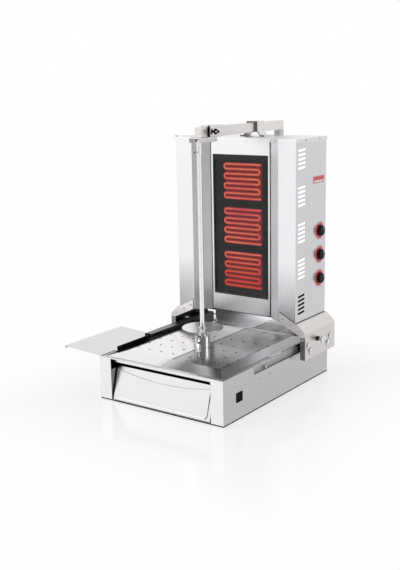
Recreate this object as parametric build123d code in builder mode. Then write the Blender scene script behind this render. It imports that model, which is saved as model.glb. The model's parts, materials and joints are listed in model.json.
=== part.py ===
from build123d import *
import os

# Electric doner kebab grill: a base with drip trays and a driven spit, and a
# heater column that rolls towards the spit on two rails.
# Every piece is drawn in millimetres with X = 0 on the spit's centre plane,
# Y = 0 on the base's front face and Z = 0 on the worktop. X grows to the
# right, Y to the back. All pieces are then moved together so that the origin
# lies under the middle of the whole outline.

os.makedirs("parts", exist_ok=True)

# Base casing
sheet = 1.5
base_half = 240
base_depth = 640
foot_height = 3
foot_half = 16
foot_inset_x = 35
foot_inset_y = 40
base_top = 143
rim_width = 16
front_band = 3.3
post_width = 46
ledge_z = 127
ledge_inset = 28
front_ledge_depth = 12
track_z = 116.3
rim_drop = 4
cut_start = 165
cut_rear_margin = 20
gland_x = 150
gland_z = 45
gland_radius = 11
drawer_opening_half = base_half - post_width
ledge_half = base_half - ledge_inset

# Heater column
column_inset = 4.4
column_rear_margin = 14
column_depth = 200
column_bottom = 214.5
column_top = 806
lid_height = 7
wing_width = 65.1
flare_width = 51.5
flare_depth = 38
flare_return = 14
window_margin = 13.4
window_top_margin = 54
window_bottom_margin = 65.5
glass_thickness = 4
glass_side_overlap = 7.4
glass_overlap = 8
frame_inset = 11.6
pan_lip = 4
pan_half_height = 72
pan_depth = 24
pan_wall = 6
zone_pitch = 152
element_x = 2.5
element_margin = 23
element_runs = 8
element_pitch = 16.3
element_bar = 9
vent_top = 749.5
vent_pitch = 118.5
vent_length = 44
vent_width = 7
saddle_setback = 113
saddle_length = 44
lid_slot_length = 90
lid_slot_inset = 85
cover_slot_length = 90
cover_slot_pitch = 120
cover_slot_inset = 86
column_half = base_half - column_inset
column_back = base_depth - column_rear_margin
column_front = column_back - column_depth
wing_inner = column_half - wing_width
panel_half = wing_inner - flare_width
panel_y = column_front + flare_depth
window_half = panel_half - window_margin
window_top = column_top - window_top_margin
window_bottom = column_bottom + window_bottom_margin
glass_half = window_half + glass_side_overlap
frame_half = window_half - frame_inset
pan_half = frame_half + pan_lip
element_width = 2 * (pan_half - element_margin)
zone_middle = (window_top + window_bottom) / 2 - 1.5
zone_heights = (zone_middle + zone_pitch, zone_middle, zone_middle - zone_pitch)
vent_y = column_front + 38

# Rails
rail_inset = 14
rail_leg = 2.5
rail_overhang = 13
rail_bottom = 100
rail_start = 160
rail_top = 156.5
rim_gap = 117
stop_pin_y = 236
stop_pin_z = 124
stop_pin_radius = 4.5
tooth_pitch = 13.5
tooth_width = 6.5
tooth_depth = 4
tooth_count = 21
splash_height = 62
rail_inner = base_half - rail_inset
rail_outer = base_half + rail_overhang
cut_open = column_front - rim_gap
cut_end = base_depth - cut_rear_margin
flange_start = cut_open - 59
first_tooth = cut_open + 8

# Drawer
drawer_side_gap = 5
drawer_face = 1
drawer_back = 188
drawer_wall_top = 100
lean_top = 34
front_top = 122
front_lip = 13
runner_height = 1.2
runner_width = 45.5
guide_gap = 4
drawer_half = drawer_opening_half - drawer_side_gap
drawer_bottom = foot_height + sheet + runner_height + 0.3

# Trays
tray_top = 152
tray_edge_z = 142.5
tray_side_gap = 6.5
tray_front = 18
tray_rear_margin = 95
crown_slope_x = 38
crown_front = 71.5
crown_slope_y = 50
seam_gap = 0.4
drain_radius = 2.2
drain_edge = 5
drain_pitch_y = 58.3
tray_half = rail_inner - tray_side_gap
tray_back = base_depth - tray_rear_margin
crown_half = tray_half - crown_slope_x
crown_back = tray_back - crown_slope_y
drain_pitch_x = (crown_half - drain_edge) / 3.7

# Collector under the trays
collector_front = 165
collector_rear_gap = 20
collector_low = 105
collector_high = 121

# Spit and drive
spit_y = 235
gearbox_half = 45
gearbox_ahead = 32
gearbox_behind = 68
gearbox_bottom = 30
gearbox_top = 95
motor_radius = 32
motor_length = 110
cradle_half = 60
cradle_post_half = 22
cradle_post_depth = 30
spit_radius = 7.5
spit_top = 819.5
socket_radius = 24
socket_bottom = 146
socket_top = 190
shaft_radius = 10
running_clearance = 0.05
housing_radius = 18
housing_height = 45
housing_flange = 30
socket_floor = 5
jaw_bottom = 166
jaw_gap = 18
jaw_wall = 7
cross_pin_z = 178
cross_pin_radius = 4.5
hang_hole_z = 781
disc_radius = 67
disc_top = 218
disc_thickness = 3

# Column carriage
bracket_sheet = 2.5
bracket_reach = 34
bracket_bottom = 98
shoulder_z = column_bottom + 2.5
shoulder_x = base_half + 3
knee_z = 188
roller_radius = 9
roller_groove = 7.7
axle_radius = 4
axle_reach = 9.5
bush_reach = 9
lock_setback = 80
bracket_outer = base_half + bracket_reach
bracket_back = column_back + 2
axle_inner = base_half - axle_reach
bush_inner = base_half - bush_reach
lower_axle_z = track_z + 0.3 + roller_groove
upper_axle_z = rail_top - rail_leg - 0.4 - roller_radius
lower_axles = (column_front + 31.6, column_back - 49.6)
upper_axles = (column_front + 17.3, column_back - 33.1)
axle_places = [(y, lower_axle_z) for y in lower_axles] + [(y, upper_axle_z) for y in upper_axles]
lock_y = column_front + lock_setback
lock_z = rail_top - rail_leg / 2

# Controls
knob_setback = 42
knob_heights = (504, 423.5, 343)
knob_radius = 18.8
knob_height = 9
regulator_depth = 32
regulator_half_width = 18
regulator_half_height = 20
dial_radius = 30
plate_length = 73
plate_bottom = 663
plate_top = 687
switch_y = 85
switch_z = 71
knob_y = column_back - knob_setback
plate_back = column_back - 15
plate_front = plate_back - plate_length

# Arm and mast
tube_wall = 2
arm_half = 13
arm_height = 31
arm_front = 231
mast_gap = 64
mast_depth = 22
mast_bottom = 40
clevis_half = 50
clevis_bottom = 28
clevis_top = 132
clevis_sheet = 4
slider_front = 268
slider_back = 341
slider_half = 21
saddle_foot = 48
saddle_spread = 34
holder_front = 209
holder_back = 306
thumb_y = 283
arm_bottom = column_top + lid_height + 13
arm_top = arm_bottom + arm_height
thumb_z = arm_bottom + 16
holder_bottom = spit_top - 9.5
mast_front = base_depth + mast_gap
mast_back = mast_front + mast_depth

# Side shelf
shelf_reach = 153
shelf_depth = 284
shelf_rise = 8
shelf_lip_top = 160
shelf_hook_front = 66
shelf_hook_back = 225
shelf_inner = base_half + 3
shelf_outer = base_half + shelf_reach
shelf_hook_x = base_half - rim_width - 1.5

# The middle of the whole outline, used as the origin
outline_right = bracket_outer + 22
outline_back = mast_back + 2
centre = Location(((shelf_outer - outline_right) / 2, -outline_back / 2, 0))


def save(body, name):
    """Move a finished piece to the shared origin and write it."""
    piece = body.part.moved(centre)
    piece.label = name
    export_step(piece, f"parts/{name}.step")


def slab(x0, x1, y0, y1, z0, z1, mode=Mode.ADD):
    """A box given by its six faces."""
    with Locations(((x0 + x1) / 2, (y0 + y1) / 2, (z0 + z1) / 2)):
        Box(x1 - x0, y1 - y0, z1 - z0, mode=mode)


def facing_front(y):
    """An upright plane across the grill: sketch x is X, sketch y is Z."""
    return Plane(origin=(0, y, 0), x_dir=(1, 0, 0), z_dir=(0, -1, 0))


def facing_right(x):
    """An upright plane along the grill: sketch x is Y, sketch y is Z."""
    return Plane(origin=(x, 0, 0), x_dir=(0, 1, 0), z_dir=(1, 0, 0))


def outline(points):
    """A flat face through the given corners."""
    with BuildLine() as edge:
        Polyline(*points, close=True)
    make_face(edge.edges())


def bent_sheet(points, thickness, side=Side.LEFT):
    """The section of a folded sheet that follows the given line."""
    with BuildLine() as fold:
        Polyline(*points)
        offset(amount=thickness, side=side, kind=Kind.INTERSECTION)
    make_face(fold.edges())


def plan_of_column(grow):
    """The column seen from above, wings forward and panel set back."""
    half = column_half + grow
    front = column_front - grow
    corners = [
        (half, column_back + grow),
        (half, front),
        (wing_inner - grow / 2, front),
        (panel_half - grow / 2, panel_y - grow),
    ]
    mirrored = [(-x, y) for x, y in reversed(corners)]
    outline(corners + mirrored)


# Base casing: floor, side walls, front frame, back wall and folded rims
with BuildPart() as base_casing:
    slab(-base_half, base_half, 0, base_depth, foot_height, foot_height + sheet)
    for side in (-1, 1):
        wall = sorted((side * (base_half - sheet), side * base_half))
        slab(*wall, 0, base_depth, foot_height, base_top)
        rim = sorted((side * (base_half - rim_width), side * base_half))
        slab(*rim, 0, cut_open, base_top - sheet, base_top)
        lip_x = base_half - rim_width
        lip = sorted((side * lip_x, side * (lip_x + sheet)))
        slab(*lip, rim_width - sheet, cut_open, ledge_z, base_top)
        ledge = sorted((side * ledge_half, side * (lip_x + sheet)))
        slab(*ledge, rim_width, cut_open, ledge_z, ledge_z + sheet)
    slab(-base_half, base_half, base_depth - sheet, base_depth, foot_height, base_top)
    slab(-base_half, base_half, 0, rim_width, base_top - sheet, base_top)
    slab(-base_half, base_half, 0, sheet, foot_height, base_top)
    lip_x = base_half - rim_width
    slab(-lip_x, lip_x, rim_width - sheet, rim_width, ledge_z, base_top)
    slab(-lip_x, lip_x, rim_width - sheet, rim_width + front_ledge_depth, ledge_z,
         ledge_z + sheet)
    # Drawer opening between the two front posts
    opening_top = base_top - front_band
    slab(-drawer_opening_half, drawer_opening_half, -1, sheet, foot_height + sheet,
         opening_top, mode=Mode.SUBTRACT)
    # Cut along each side wall for the carriage rollers, open at the top further back
    cut_height = base_top - rim_drop - track_z
    nose = cut_height / 2
    for wall_x in (-base_half - 1, base_half - sheet - 1):
        with BuildSketch(facing_right(wall_x)):
            with Locations((cut_start + nose, track_z + nose)):
                Circle(nose)
            with Locations(((cut_start + nose + cut_end) / 2, track_z + nose)):
                Rectangle(cut_end - cut_start - nose, cut_height)
            with Locations(((cut_open + cut_end) / 2, base_top)):
                Rectangle(cut_end - cut_open, 2 * (base_top - track_z))
        extrude(amount=sheet + 2, mode=Mode.SUBTRACT)
    # Air slots and the cable hole in the back wall
    with BuildSketch(facing_front(base_depth + 1)):
        with Locations((-110, 60)):
            with GridLocations(0, 14, 1, 5):
                Rectangle(110, 5)
        with Locations((gland_x, gland_z)):
            Circle(gland_radius)
    extrude(amount=sheet + 2, mode=Mode.SUBTRACT)
    # Switch hole in the right wall
    slab(base_half - sheet - 1, base_half + 1, switch_y - 13, switch_y + 13,
         switch_z - 13, switch_z + 13, mode=Mode.SUBTRACT)
save(base_casing, "base_casing")

# Four rubber pads under the floor plate
with BuildPart() as rubber_feet:
    with Locations((0, base_depth / 2, foot_height / 2)):
        with GridLocations(2 * (base_half - foot_inset_x), base_depth - 2 * foot_inset_y, 2, 2):
            Box(2 * foot_half, 2 * foot_half, foot_height)
save(rubber_feet, "rubber_feet")

# Deck behind the trays, with a ledge for their rear edge and a splash wall at its back
splash_y = bracket_back + 4
with BuildPart() as rear_deck:
    slab(-rail_inner, rail_inner, tray_back + 3, base_depth - sheet, base_top - sheet, base_top)
    slab(-rail_inner, rail_inner, splash_y, splash_y + sheet, base_top, base_top + splash_height)
    slab(-rail_inner, rail_inner, tray_back + 3, tray_back + 3 + sheet, ledge_z, base_top)
    slab(-ledge_half, ledge_half, tray_back - 15, tray_back + 3 + sheet, ledge_z, ledge_z + sheet)
save(rear_deck, "rear_deck")

# Rails: a leg inside each side wall and a flange with a toothed outer edge
for name, side in (("rail_left", -1), ("rail_right", 1)):
    with BuildPart() as rail:
        leg = sorted((side * rail_inner, side * (rail_inner + rail_leg)))
        foot = sorted((side * rail_inner, side * (base_half - sheet)))
        flange = sorted((side * rail_inner, side * rail_outer))
        slab(*leg, rail_start, cut_end, rail_bottom, base_top - rim_drop)
        slab(*foot, rail_start, cut_end, rail_bottom, rail_bottom + rail_leg)
        slab(*leg, cut_open, cut_end, rail_bottom, rail_top)
        slab(*flange, flange_start, cut_end, rail_top - rail_leg, rail_top)
        for i in range(tooth_count):
            y = first_tooth + i * tooth_pitch
            notch = sorted((side * (rail_outer - tooth_depth), side * (rail_outer + 1)))
            slab(*notch, y - tooth_width / 2, y + tooth_width / 2,
                 rail_top - rail_leg - 1, rail_top + 1, mode=Mode.SUBTRACT)
    save(rail, name)

# Stop pins that carry the rail leg at the closed end of each cut
with BuildPart() as stop_pins:
    for side in (-1, 1):
        with BuildSketch(facing_right(side * (rail_inner + rail_leg))):
            with Locations((stop_pin_y, stop_pin_z)):
                RegularPolygon(stop_pin_radius, 12)
        extrude(amount=side * (base_half + 1 - rail_inner - rail_leg))
save(stop_pins, "stop_pins")

# Collector sheet that leads fat from the trays to the drawer
with BuildPart() as drip_pan:
    collector_half = ledge_half + 1.5
    front, back = collector_front, tray_back - collector_rear_gap
    low, high = collector_low, collector_high
    with BuildSketch(facing_right(-collector_half)):
        outline([(front, low), (back, high), (back, high + sheet),
                 (front, low + sheet)])
    extrude(amount=2 * collector_half)
    for x in (-collector_half, collector_half - sheet):
        with BuildSketch(facing_right(x)):
            outline([(front, low), (back, high), (back, ledge_z),
                     (front, ledge_z)])
        extrude(amount=sheet)
    slab(-collector_half, collector_half, back - sheet, back, high, ledge_z)
    with Locations((0, spit_y, low)):
        Cylinder(housing_radius + 8, 30, mode=Mode.SUBTRACT)
save(drip_pan, "drip_pan")

# Drawer guides: side walls, two low runners and the wall behind the drawer
with BuildPart() as drawer_guides:
    floor_z = foot_height + sheet
    guide_back = drawer_back + guide_gap
    guide_top = drawer_wall_top + guide_gap
    for side in (-1, 1):
        inner = sorted((side * drawer_opening_half, side * (drawer_opening_half + sheet)))
        slab(*inner, sheet, guide_back, floor_z, guide_top)
        runner = sorted((side * (drawer_opening_half + sheet - runner_width),
                         side * (drawer_opening_half + sheet)))
        slab(*runner, 4 * sheet, guide_back, floor_z, floor_z + runner_height)
    slab(-drawer_opening_half - sheet, drawer_opening_half + sheet, guide_back,
         guide_back + sheet, floor_z, guide_top)
save(drawer_guides, "drawer_guides")

# Gearmotor under the spit
gearbox_front = spit_y - gearbox_ahead
gearbox_back = spit_y + gearbox_behind
motor_z = (gearbox_bottom + gearbox_top) / 2
with BuildPart() as motor_bracket:
    floor_z = foot_height + sheet
    plate_z = floor_z + 3
    slab(-cradle_half, cradle_half, gearbox_front - 3, gearbox_back + motor_length + 7, floor_z,
         plate_z)
    for side in (-1, 1):
        cheek = sorted((side * gearbox_half, side * (gearbox_half + 3)))
        slab(*cheek, gearbox_front + 5, gearbox_back - 5, plate_z, gearbox_top - 15)
    post_y = gearbox_back + motor_length / 2
    slab(-cradle_post_half, cradle_post_half, post_y - cradle_post_depth / 2,
         post_y + cradle_post_depth / 2, plate_z, motor_z - motor_radius + 4)
    with BuildSketch(facing_front(post_y - cradle_post_depth)):
        with Locations((0, motor_z)):
            RegularPolygon(motor_radius, 24)
    extrude(amount=-2 * cradle_post_depth, mode=Mode.SUBTRACT)
save(motor_bracket, "motor_bracket")

with BuildPart() as gearbox:
    slab(-gearbox_half, gearbox_half, gearbox_front, gearbox_back, gearbox_bottom, gearbox_top)
    chamfer(gearbox.edges().filter_by(Axis.Z), 8)
    with BuildSketch(facing_front(gearbox_front)):
        with Locations((0, motor_z)):
            RegularPolygon(motor_radius - 10, 16)
    extrude(amount=3)
save(gearbox, "gearbox")

with BuildPart() as gearmotor:
    with BuildSketch(facing_front(gearbox_back)):
        with Locations((0, motor_z)):
            RegularPolygon(motor_radius, 24)
    extrude(amount=-motor_length)
    with BuildSketch(facing_front(gearbox_back + motor_length)):
        with Locations((0, motor_z)):
            RegularPolygon(motor_radius - 5, 24)
    extrude(amount=-12)
save(gearmotor, "gearmotor")

with BuildPart() as bearing_housing:
    slab(-housing_flange, housing_flange, spit_y - housing_flange, spit_y + housing_flange,
         gearbox_top, gearbox_top + 6)
    with BuildSketch(Plane.XY.offset(gearbox_top)):
        with Locations((0, spit_y)):
            RegularPolygon(housing_radius, 24)
    extrude(amount=housing_height)
    with Locations((0, spit_y, gearbox_top)):
        Cylinder(shaft_radius + running_clearance, 2 * housing_height, mode=Mode.SUBTRACT,
                 align=(Align.CENTER, Align.CENTER, Align.MIN))
save(bearing_housing, "bearing_housing")

# Drive: output shaft, socket with two jaws, and the spit that stands in it
with BuildPart() as drive_shaft:
    with BuildSketch(Plane.XY.offset(gearbox_top + 0.4)):
        with Locations((0, spit_y)):
            RegularPolygon(shaft_radius, 24)
    extrude(amount=socket_bottom - gearbox_top - 0.4)
save(drive_shaft, "drive_shaft")

with BuildPart() as drive_socket:
    with BuildSketch(Plane.XY.offset(socket_bottom)):
        with Locations((0, spit_y)):
            RegularPolygon(socket_radius, 32)
    extrude(amount=socket_top - socket_bottom)
    with BuildSketch(Plane.XY.offset(jaw_bottom)):
        with Locations((0, spit_y)):
            RegularPolygon(socket_radius - jaw_wall, 24)
    extrude(amount=socket_top, mode=Mode.SUBTRACT)
    with Locations((0, spit_y, socket_bottom + socket_floor)):
        Cylinder(spit_radius + running_clearance, 40, mode=Mode.SUBTRACT,
                 align=(Align.CENTER, Align.CENTER, Align.MIN))
    slab(-jaw_gap / 2, jaw_gap / 2, spit_y - 40, spit_y + 40, jaw_bottom, socket_top + 5,
         mode=Mode.SUBTRACT)
save(drive_socket, "drive_socket")

with BuildPart() as spit_rod:
    with Locations((0, spit_y, socket_bottom + socket_floor)):
        Cylinder(spit_radius, spit_top - socket_bottom - socket_floor,
                 align=(Align.CENTER, Align.CENTER, Align.MIN))
    chamfer(spit_rod.faces().sort_by(Axis.Z)[-1].edges(), 2)
    with BuildSketch(facing_front(spit_y - socket_radius + 1)):
        with Locations((0, cross_pin_z)):
            RegularPolygon(cross_pin_radius, 12)
    extrude(amount=-2 * (socket_radius - 1))
    with BuildSketch(facing_front(spit_y - 20)):
        with Locations((0, hang_hole_z)):
            RegularPolygon(2.5, 8)
    extrude(amount=-40, mode=Mode.SUBTRACT)
save(spit_rod, "spit_rod")

with BuildPart() as meat_disc:
    with BuildSketch(Plane.XY.offset(disc_top - disc_thickness)):
        with Locations((0, spit_y)):
            RegularPolygon(disc_radius, 48)
    extrude(amount=disc_thickness)
    with BuildSketch(Plane.XY.offset(socket_top + 0.4)):
        with Locations((0, spit_y)):
            RegularPolygon(2 * spit_radius - 1, 24)
    extrude(amount=disc_top + 4 - socket_top - 0.4)
    with Locations((0, spit_y, disc_top)):
        Cylinder(spit_radius + running_clearance, 100, mode=Mode.SUBTRACT)
save(meat_disc, "meat_disc")

# Trays: each half is a shallow crowned sheet with a turned-down edge
for name, side in (("tray_left", -1), ("tray_right", 1)):
    with BuildPart() as tray:
        for drop, mode in ((0, Mode.ADD), (sheet, Mode.SUBTRACT)):
            with BuildSketch(Plane.XY.offset(tray_edge_z - drop)):
                with Locations((side * (seam_gap + tray_half) / 2, (tray_front + tray_back) / 2)):
                    Rectangle(tray_half - seam_gap, tray_back - tray_front)
            with BuildSketch(Plane.XY.offset(tray_top - drop)):
                with Locations((side * (seam_gap + crown_half) / 2, (crown_front + crown_back) / 2)):
                    Rectangle(crown_half - seam_gap, crown_back - crown_front)
            loft(ruled=True, mode=mode)
        skirt_z = ledge_z + sheet + 0.3
        outer = sorted((side * (tray_half - sheet), side * tray_half))
        whole = sorted((side * seam_gap, side * tray_half))
        seam = sorted((side * seam_gap, side * (seam_gap + sheet)))
        slab(*outer, tray_front, tray_back, skirt_z, tray_edge_z)
        slab(*whole, tray_front, tray_front + sheet, skirt_z, tray_edge_z)
        slab(*whole, tray_back - sheet, tray_back, skirt_z, tray_edge_z)
        slab(*seam, crown_front, crown_back, tray_edge_z, tray_top - sheet / 2)
        # Drain holes in a square grid around the spit
        with BuildSketch(Plane.XY.offset(tray_top + 1)):
            with Locations((side * 2.2 * drain_pitch_x, spit_y)):
                with GridLocations(drain_pitch_x, drain_pitch_y, 4, 5):
                    RegularPolygon(drain_radius, 6)
        extrude(amount=-5, mode=Mode.SUBTRACT)
        with BuildSketch(Plane.XY.offset(ledge_z)):
            with Locations((0, spit_y)):
                RegularPolygon(socket_radius + 1.6, 32)
        extrude(amount=40, mode=Mode.SUBTRACT)
    save(tray, name)

# Drawer: an open box behind a front that leans back
with BuildPart() as drawer_front:
    with BuildSketch(facing_right(-drawer_half)):
        bent_sheet([(drawer_face, drawer_bottom), (lean_top, front_top),
                    (lean_top + front_lip, front_top),
                    (lean_top + front_lip, front_top - 6)], sheet, Side.RIGHT)
    extrude(amount=2 * drawer_half)
save(drawer_front, "drawer_front")

with BuildPart() as drawer_box:
    slope = (lean_top - drawer_face) / (front_top - drawer_bottom)
    floor_front = drawer_face + sheet * (1 + slope ** 2) ** 0.5 + 0.02
    wall_front = floor_front + slope * (drawer_wall_top - drawer_bottom)
    for x in (-drawer_half, drawer_half - sheet):
        with BuildSketch(facing_right(x)):
            outline([(floor_front, drawer_bottom), (drawer_back, drawer_bottom),
                     (drawer_back, drawer_wall_top), (wall_front, drawer_wall_top)])
        extrude(amount=sheet)
    slab(-drawer_half, drawer_half, floor_front + slope * sheet, drawer_back, drawer_bottom,
         drawer_bottom + sheet)
    slab(-drawer_half, drawer_half, drawer_back - sheet, drawer_back, drawer_bottom,
         drawer_wall_top)
save(drawer_box, "drawer_box")

# Side shelf that hangs on the left rim
with BuildPart() as side_shelf:
    seat = base_top + 0.3
    outer_z = seat + shelf_rise
    with BuildSketch(facing_front(1)):
        bent_sheet([(-shelf_outer, outer_z - 7), (-shelf_outer, outer_z + sheet),
                    (-shelf_inner, seat + sheet), (-shelf_hook_x + sheet, seat + sheet)],
                   sheet, Side.RIGHT)
    extrude(amount=-(shelf_depth - 1))
    # Clear of the rail behind the hook
    slab(-rail_outer - 3, -200, shelf_hook_back + 7, shelf_depth + 1, 100, 200,
         mode=Mode.SUBTRACT)
    slab(-base_half + 5, -200, 0, shelf_hook_front, 100, 200, mode=Mode.SUBTRACT)
    # Hook leg and upstand inside the rim, and a stay against the outer wall
    slab(-shelf_hook_x, -shelf_hook_x + sheet, shelf_hook_front, shelf_hook_back,
         ledge_z + 4, shelf_lip_top)
    slab(-shelf_inner, -shelf_inner + sheet, 20, shelf_hook_back, seat - 48, seat + sheet)
save(side_shelf, "side_shelf")

# Column side panels with louvre slots, wings and flares
for name, side in (("side_panel_left", -1), ("side_panel_right", 1)):
    with BuildPart() as side_panel:
        with BuildSketch(Plane.XY.offset(column_bottom)):
            turn = Side.LEFT if side < 0 else Side.RIGHT
            bent_sheet([(side * column_half, column_back), (side * column_half, column_front),
                        (side * wing_inner, column_front), (side * panel_half, panel_y),
                        (side * panel_half, panel_y + flare_return)], sheet, turn)
        extrude(amount=column_top - column_bottom)
        x_start = side * column_half - 3
        with BuildSketch(facing_right(x_start)):
            for group in range(5):
                with Locations((vent_y, vent_top - vent_pitch * group)):
                    with GridLocations(0, 14, 1, 5):
                        Rectangle(vent_length, vent_width, rotation=4)
        extrude(amount=6, mode=Mode.SUBTRACT)
        if side > 0:
            with BuildSketch(facing_right(x_start)):
                with Locations(*[(knob_y, z) for z in knob_heights]):
                    RegularPolygon(6, 12)
            extrude(amount=6, mode=Mode.SUBTRACT)
    save(side_panel, name)

with BuildPart() as front_panel:
    inner_half = panel_half - sheet
    slab(-inner_half, inner_half, panel_y, panel_y + sheet, column_bottom, column_top)
    slab(-window_half, window_half, panel_y - 1, panel_y + 5, window_bottom, window_top,
         mode=Mode.SUBTRACT)
    for side in (-1, 1):
        fold = sorted((side * (inner_half - sheet), side * inner_half))
        slab(*fold, panel_y, panel_y + 12, column_bottom, column_top)
save(front_panel, "front_panel")

glass_front = panel_y + sheet
glass_back = glass_front + glass_thickness
with BuildPart() as ceramic_glass:
    slab(-glass_half, glass_half, glass_front, glass_back, window_bottom - glass_overlap,
         window_top + glass_overlap)
save(ceramic_glass, "ceramic_glass")

with BuildPart() as glass_frame:
    slab(-glass_half, glass_half, glass_back, glass_back + 2, window_bottom - 2 * glass_overlap,
         window_top + 2 * glass_overlap)
    slab(-frame_half, frame_half, glass_back - 1, glass_back + 3, window_bottom, window_top,
         mode=Mode.SUBTRACT)
    for upper, lower in zip(zone_heights, zone_heights[1:]):
        middle = (upper + lower) / 2
        slab(-frame_half, frame_half, glass_back, glass_back + 2, middle - 4, middle + 4)
save(glass_frame, "glass_frame")

# One insulated pan per zone, open towards the glass
pan_y = glass_back + 2
with BuildPart() as heater_pans:
    for z in zone_heights:
        slab(-pan_half, pan_half, pan_y, pan_y + pan_depth, z - pan_half_height,
             z + pan_half_height)
        slab(-pan_half + pan_wall, pan_half - pan_wall, pan_y - 1, pan_y + pan_depth - pan_wall,
             z - pan_half_height + pan_wall, z + pan_half_height - pan_wall, mode=Mode.SUBTRACT)
save(heater_pans, "heater_pans")

# Heating elements: a flat bar folded to and fro, held by two rear posts
with BuildPart() as heating_elements:
    reach = element_width / 2
    half_bar = element_bar / 2
    bend = element_pitch / 2 + half_bar
    for z in zone_heights:
        top = z + element_pitch * (element_runs - 1) / 2
        with BuildSketch(facing_front(pan_y + 8)):
            for run in range(element_runs):
                run_z = top - run * element_pitch
                with Locations((element_x, run_z)):
                    Rectangle(2 * (reach - bend), element_bar)
            for run in range(element_runs - 1):
                side = -1 if run % 2 == 0 else 1
                middle = top - (run + 0.5) * element_pitch
                inner = element_x + side * (reach - bend)
                with Locations((inner + side * bend / 2, middle)):
                    Rectangle(bend, 2 * bend)
                with BuildLine() as turn:
                    Polyline((inner, middle + bend - element_bar),
                             (inner + side * (bend - element_bar), middle + 1.5),
                             (inner + side * (bend - element_bar), middle - 1.5),
                             (inner, middle - bend + element_bar), close=True)
                make_face(turn.edges(), mode=Mode.SUBTRACT)
                for up in (-1, 1):
                    with BuildLine() as corner:
                        Polyline((inner + side * bend, middle + up * bend),
                                 (inner + side * bend, middle + up * bend / 2),
                                 (inner + side * bend / 2, middle + up * bend), close=True)
                    make_face(corner.edges(), mode=Mode.SUBTRACT)
        extrude(amount=3)
        for side in (-1, 1):
            post = element_x + side * (reach - 32)
            slab(post - 3, post + 3, pan_y + 8, pan_y + pan_depth - pan_wall, z - 50, z + 50)
save(heating_elements, "heating_elements")

with BuildPart() as column_floor:
    with BuildSketch(Plane.XY.offset(column_bottom)):
        plan_of_column(-sheet)
    extrude(amount=sheet)
    # Clear of the folds of the front panel and of the flares
    notch_half = panel_half + sheet
    slab(-notch_half, notch_half, panel_y - 5, panel_y + flare_return, column_bottom - 1,
         column_bottom + 5, mode=Mode.SUBTRACT)
    # Cable hole
    with Locations((0, column_back - 66, column_bottom)):
        Cylinder(18, 10, mode=Mode.SUBTRACT)
save(column_floor, "column_floor")

# Lid with a turned-down edge and two rows of air slots
with BuildPart() as top_cover:
    with BuildSketch(Plane.XY.offset(column_top - 6)):
        plan_of_column(1.9)
    extrude(amount=6 + lid_height)
    with BuildSketch(Plane.XY.offset(column_top - 7)):
        plan_of_column(0.4)
    extrude(amount=7, mode=Mode.SUBTRACT)
    with BuildSketch(Plane.XY.offset(column_top)):
        plan_of_column(-1.5)
    extrude(amount=5, mode=Mode.SUBTRACT)
    for side in (-1, 1):
        with Locations((side * (column_half - lid_slot_inset), column_back - cover_slot_inset,
                        column_top + lid_height)):
            with GridLocations(0, 16, 1, 9):
                Box(lid_slot_length, 5, 2 * lid_height, mode=Mode.SUBTRACT)
    # Pull at the left front corner
    slab(-column_half - 16, -column_half - 1.5, column_front, column_front + 13, column_top,
         column_top + 12)
save(top_cover, "top_cover")

with BuildPart() as rear_cover:
    cover_half = column_half - sheet
    slab(-cover_half, cover_half, column_back - sheet, column_back, column_bottom + sheet,
         column_top)
    with BuildSketch(facing_front(column_back + 1)):
        for z in (column_bottom + cover_slot_inset, column_top - cover_slot_inset):
            with Locations((0, z)):
                with GridLocations(cover_slot_pitch, 16, 3, 6):
                    Rectangle(cover_slot_length, 6)
    extrude(amount=sheet + 2, mode=Mode.SUBTRACT)
save(rear_cover, "rear_cover")

# Insulation boards right behind the upper four groups of air slots
board_thickness = 6
board_bottom = vent_top - 3.5 * vent_pitch
with BuildPart() as slot_liners:
    for side in (-1, 1):
        face = side * (column_half - sheet)
        board = sorted((face, face - side * board_thickness))
        slab(*board, vent_y - vent_length / 2 - 6, vent_y + vent_length / 2 + 6, board_bottom,
             column_top - 5)
save(slot_liners, "slot_liners")

# Carriage brackets: a folded sheet that straddles each side wall and rail
for name, side in (("bracket_left", -1), ("bracket_right", 1)):
    with BuildPart() as bracket:
        inner = column_half
        with BuildSketch(facing_front(column_front - bracket_sheet)):
            turn = Side.RIGHT if side > 0 else Side.LEFT
            bent_sheet([(side * inner, shoulder_z), (side * shoulder_x, shoulder_z),
                        (side * bracket_outer, knee_z), (side * bracket_outer, bracket_bottom)],
                       bracket_sheet, turn)
        extrude(amount=-(bracket_back - column_front + bracket_sheet))
        with BuildSketch(facing_front(column_front - bracket_sheet)):
            outline([(side * (wing_inner + 5.5), shoulder_z + 33),
                     (side * column_half, shoulder_z + 1), (side * shoulder_x, shoulder_z),
                     (side * bracket_outer, knee_z), (side * bracket_outer, bracket_bottom),
                     (side * (rail_outer + 2), bracket_bottom),
                     (side * (rail_outer + 2), knee_z - 11),
                     (side * (wing_inner + 5.5), shoulder_z - 3)])
        extrude(amount=-bracket_sheet)
        with BuildSketch(facing_front(bracket_back - bracket_sheet)):
            closed_top = column_bottom - 0.3
            outline([(side * (rail_inner - 4), closed_top), (side * inner, closed_top),
                     (side * inner, shoulder_z), (side * shoulder_x, shoulder_z),
                     (side * bracket_outer, knee_z),
                     (side * bracket_outer, bracket_bottom),
                     (side * (rail_outer + 5), bracket_bottom),
                     (side * (rail_outer + 5), rail_top + 4),
                     (side * (rail_inner - 4), rail_top + 4)])
        extrude(amount=-bracket_sheet)
        # Holes for the axles and the locking screw
        outer_start = side * bracket_outer - 5
        with BuildSketch(facing_right(outer_start)):
            with Locations(*axle_places, (lock_y, lock_z)):
                RegularPolygon(axle_radius + running_clearance, 12, major_radius=False)
        extrude(amount=10, mode=Mode.SUBTRACT)
    save(bracket, name)

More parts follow.
